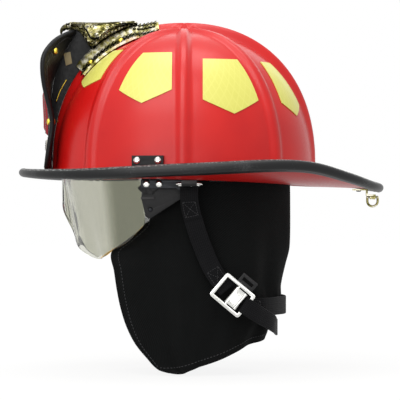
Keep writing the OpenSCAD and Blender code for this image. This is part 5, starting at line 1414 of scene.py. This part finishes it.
# Inside: the foam liner, the crown straps and their pad, the headband and its pads. The helmet's inside turns
# round the upright line at x = 1, and its dome shapes run from LINER_FOOT up.
LINER_FOOT, LINER_HIGH, INSIDE_HIGH, HEAD_LONG, HEAD_WIDE = 4.0, 140.5, 116.5, 101.0, 80.0
LINER_LONG, LINER_WIDE, AXIS_X = 118.0, 90.0, 1
CROWN_STRAP_T, CROWN_STRAP_HALF = 1.4, 9.3


def cap_at(psi, s, a, b, h):
    """A point of a dome inside the shell: a long and b wide at its foot, at the share s of its height h."""
    c, psi = dome_share(s), np.radians(psi)
    return np.stack(np.broadcast_arrays(AXIS_X + a * c * np.cos(psi), b * c * np.sin(psi),
        LINER_FOOT + (h - LINER_FOOT) * s), -1)


def clear_visor(p):
    """Draws the liner's front back to the room that the raised visor takes round its pivot."""
    x, z = p[..., 0] - PIVOT_X, p[..., 2] - PIVOT_Z
    turn = np.degrees(np.arctan2(z, x))
    room = 125.5 + 4 * ease((turn - 34) / 12)
    q = np.hypot(np.hypot(x, z) / room, p[..., 1] / 95)
    k = np.where(q > 1, 1 + (1 / np.maximum(q, 1e-6) - 1) * (1 - ease((turn - 49) / 9)), 1.0)
    return np.stack([PIVOT_X + x * k, p[..., 1] * k, PIVOT_Z + z * k], -1)


def build_liner():
    rises = np.concatenate([np.linspace(0, 0.86, 24), np.linspace(0.9, 0.995, 7)])
    s, psi = np.meshgrid(rises, np.arange(0, 360, 3.0), indexing="ij")
    outer = clear_visor(cap_at(psi, s[::-1], LINER_LONG, LINER_WIDE, LINER_HIGH))
    rows = np.concatenate([outer, cap_at(psi, s, HEAD_LONG, HEAD_WIDE, INSIDE_HIGH)])
    verts = np.concatenate([rows.reshape(-1, 3), [[AXIS_X, 0, LINER_HIGH], [AXIS_X, 0, INSIDE_HIGH]]])
    o = mesh_object("impact_foam", verts, capped_faces(*rows.shape[:2], flip=True))
    done(soften(o, 2.0, 3, 50, merge=False), FOAM, replaces=["impact_liner"])


def crown_at(psi, s, across, out):
    """A point on a crown strap, which lies inside the liner's hollow and falls away from it near the top."""
    turn = np.radians(psi)
    w = unit(np.stack([-HEAD_LONG * np.sin(turn), HEAD_WIDE * np.cos(turn)], -1))
    fall = 1.1 + 2.1 * ease((s - 0.3) * 2) - out
    c = dome_share(s)
    x = AXIS_X + (HEAD_LONG - fall) * c * np.cos(turn) + w[..., 0] * across
    y = (HEAD_WIDE - fall) * c * np.sin(turn) + w[..., 1] * across
    return np.stack([x, y, LINER_FOOT + (INSIDE_HIGH - fall - LINER_FOOT) * s], -1)


def build_crown_straps():
    """Three straps that cross over the head, one above the other at the crown."""
    rises = np.sin(np.radians(12 + 78 * np.linspace(0, 1, 41))) ** 0.9
    s = np.concatenate([rises[:40], rises[::-1]])[:, None]
    beyond = (np.arange(81) >= 40)[:, None]
    x = np.linspace(1, -1, 9)
    rolled = 0.28 * (np.abs(x) > 0.99)
    for k, layer in enumerate((1, 0, 2)):
        turn = 60.0 * k + 180.0 * beyond + 0 * x
        across = x * np.where(beyond, -1, 1) * CROWN_STRAP_HALF
        top, under = (crown_at(turn, s + 0 * x, across, out - 1.7 * layer * s)
            for out in (-rolled, rolled - CROWN_STRAP_T))
        run = run_of(top.mean(1))
        uv = np.stack(np.meshgrid(run, x * CROWN_STRAP_HALF, indexing="ij"), -1).reshape(-1, 2)
        o = slab_object("crown_webbing_%d" % (k + 1), top, under, uv)
        done(smooth(o, 70), WEBBING, replaces=["crown_straps"] if k == 0 else ())


def turned(outline, angles, shape):
    """A closed turned form: an outline of (radius, height) from pole to pole, shaped by the angle."""
    rows = np.array([[shape(r, z, a) for a in angles] for r, z in outline[1:-1]])
    verts = np.concatenate([rows.reshape(-1, 3), [shape(*outline[0], 0.0), shape(*outline[-1], 0.0)]])
    return verts, capped_faces(*rows.shape[:2])


def build_crown_pad():
    """A round cushion under the crown straps: sewn round its rim, three times across, and at its middle."""
    high = INSIDE_HIGH - 3.2 - 3 * CROWN_STRAP_T - 0.9
    top = [(r, 0.0) for r in (0, 6, 12, 18, 24, 27.5)]
    rim = [(29.3, -0.9), (29.9, -2.2), (29.9, -3.2), (29.3, -4.4), (28.0, -5.2)]
    under = [(r, -6.0) for r in (26.5, 25.4, 24, 21, 18, 15, 12, 9, 6, 3, 1, 0)]
    seam_r = 25.4

    def shape(r, z, a):
        seam = math.exp(-(r - seam_r) ** 2) * 1.1 + math.exp(-(r / 3.0) ** 2) * 1.8
        spoke = math.exp(-((math.sin(3 * a) * max(r, 0.1)) / 5.0) ** 2) * 0.9 * (1 if 2 < r < 25 else 0)
        drawn_up = (seam + spoke) * (1 if z < -5 else 0)
        return (AXIS_X + r * math.cos(a), r * math.sin(a), high - r * r * 0.0078 + z + drawn_up)
    verts, faces = turned(top + rim + under, np.linspace(0, 2 * math.pi, 120, endpoint=False), shape)
    pad = smooth(mesh_object("crown_cushion", verts, faces, verts[:, :2]), 80)
    done(pad, PAD_CLOTH, replaces=["crown_pad"])


TILT = math.radians(6)


def in_band(p):
    """Tilts points with the headband, which sits higher in front."""
    x, y, z = p[..., 0], p[..., 1], p[..., 2]
    return np.stack([x * math.cos(TILT) - z * math.sin(TILT), y, x * math.sin(TILT) + z * math.cos(TILT)], -1)


def band_at(psi, a, b, z):
    turn = np.radians(psi)
    return in_band(np.stack(np.broadcast_arrays(AXIS_X + a * np.cos(turn), b * np.sin(turn), z), -1))


def build_band_pad(name, node, start, stop, low, high, channels):
    """A padded cloth strip sewn to the headband: crowned between its seams, and thin at its edges."""
    inset = 5 + 2.1
    a, b = HEAD_LONG - inset, HEAD_WIDE - inset
    psi, v = np.meshgrid(np.linspace(start, stop, 121), np.linspace(-1, 1, 41), indexing="xy")
    z = (low + high) / 2 - v * (high - low) / 2
    end = np.minimum(psi - start, stop - psi)
    gap = (stop - start) / channels
    seam = np.abs((psi - start) / gap - np.round((psi - start) / gap)) * gap
    crown = np.sqrt(np.clip(1 - np.abs(v) ** 3.5, 0, 1)) * ease(end / 2.5)
    thick = 0.9 + 3.5 * crown * (1 - 0.45 * np.exp(-(seam / 0.9) ** 2))
    uv = np.stack([psi * 1.5, z], -1).reshape(-1, 2)
    o = slab_object(name, band_at(psi, a, b, z), band_at(psi, a - thick, b - thick, z), uv)
    done(smooth(o, 70), PAD_CLOTH, replaces=[node])


def build_inside():
    build_liner()
    build_crown_straps()
    build_crown_pad()
    build_band_pad("brow_cushion", "brow_pad", -62, 62, -3, 27, 5)
    build_band_pad("nape_cushion", "nape_pad", 150, 210, -11, 7, 3)
    dress("headband", NYLON, 0.3)


build_inside()


# The room: a pale floor and soft lamps. The camera stands square to the helmet's left side.
def seen_rays(tree):
    """1 where the eye sees a thing, straight, in metal or through the lens, and 0 where it only lights."""
    rays = add(tree, "ShaderNodeLightPath").outputs
    straight, in_metal, through = rays["Is Camera Ray"], rays["Is Glossy Ray"], rays["Is Transmission Ray"]
    seen = add(tree, "ShaderNodeMath", {0: straight, 1: in_metal}, operation="MAXIMUM")
    return add(tree, "ShaderNodeMath", {0: seen, 1: through}, operation="MAXIMUM")


def studio_paper():
    """Pale paper, white to the eye but for a share near the helmet that keeps its shadow."""
    m, t, b = finish_of("pale_studio_paper", {"Base Color": "#8c8b89", "Roughness": 0.9})
    p = add(t, "ShaderNodeTexCoord").outputs["Object"]
    fibre = add(t, "ShaderNodeTexNoise", {"Vector": p, "Scale": per_metre(1.11), "Detail": 3})
    seen = seen_rays(t)
    feed(t, b, {
        "Base Color": add(t, "ShaderNodeMix", {0: seen, 6: "#8c8b89", 7: "#e9e8e5"}, data_type="RGBA"),
        "Normal": add(t, "ShaderNodeBump", {"Height": fibre, "Strength": 0.05, "Distance": 0.1 * MM})})
    away = add(t, "ShaderNodeVectorMath", {0: p}, operation="LENGTH").outputs["Value"]
    far = add(t, "ShaderNodeValToRGB", {"Fac": away}, stops=[(0.4, 0.86), (1.0, 1.0)])
    share = add(t, "ShaderNodeMath", {0: seen, 1: far}, operation="MULTIPLY")
    white = add(t, "ShaderNodeEmission", {"Color": "#ffffff", "Strength": 1.02})
    blend = add(t, "ShaderNodeMixShader", {0: share, 1: b, 2: white})
    feed(t, t.nodes["Material Output"], {"Surface": blend})
    m.cycles.emission_sampling = "NONE"
    return m


def lamp(name, place, aim, size, power):
    """A soft white lamp of a size in metres, turned to its aim."""
    d = bpy.data.lights.new(name, "AREA")
    d.shape = "RECTANGLE"
    d.size, d.size_y = size
    d.energy = power
    o = bpy.data.objects.new(name, d)
    o.location = place
    o.rotation_euler = (Vector(aim) - Vector(place)).to_track_quat("-Z", "Y").to_euler()
    scene.collection.objects.link(o)


def build_room():
    reach, floor_z = 6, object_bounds()[0][2] - 0.002
    me = bpy.data.meshes.new("floor")
    corners = ((-reach, -reach), (reach, -reach), (reach, reach), (-reach, reach))
    me.from_pydata([(x, y, floor_z) for x, y in corners], [], [(0, 1, 2, 3)])
    me.materials.append(studio_paper())
    o = bpy.data.objects.new("floor", me)
    scene.collection.objects.link(o)
    o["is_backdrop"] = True
    lamp("key_left", (0.4, 1.3, 1.5), (0, 0, 0.05), (1.5, 1.1), 21)
    lamp("fill_side", (0.6, 1.9, 0.3), (0, 0, 0), (1.3, 1.3), 8)
    lamp("low", (0.2, 1.5, -0.2), (0.05, 0, 0), (1.4, 0.5), 4)
    lamp("top", (0, 0.1, 1.9), (0, 0, 0), (1.3, 0.9), 16)
    lamp("back_rim", (-0.4, -1.3, 0.9), (0, 0, 0.05), (1.4, 0.9), 3.5)
    world = bpy.data.worlds.new("studio")
    scene.world = world
    world.use_nodes = True
    w = world.node_tree
    glow = add(w, "ShaderNodeMath", {0: seen_rays(w), 1: 0.45, 2: 0.55}, operation="MULTIPLY_ADD")
    feed(w, w.nodes["Background"], {"Color": "#ffffff", "Strength": glow})


def build_camera():
    """The photograph's view: level, with 432 mm across the frame at the helmet's middle."""
    away, across = 2.28, 0.432
    c = bpy.data.cameras.new("photo_view")
    c.sensor_width = 36
    c.lens = c.sensor_width * away / across
    c.clip_end = 20
    o = bpy.data.objects.new("photo_view", c)
    o.location = (-0.0162, away, -0.0302)
    o.rotation_euler = (math.radians(90), 0, math.radians(180))
    scene.collection.objects.link(o)
    scene.camera = o


scene.view_settings.view_transform = "Standard"
build_room()
build_camera()
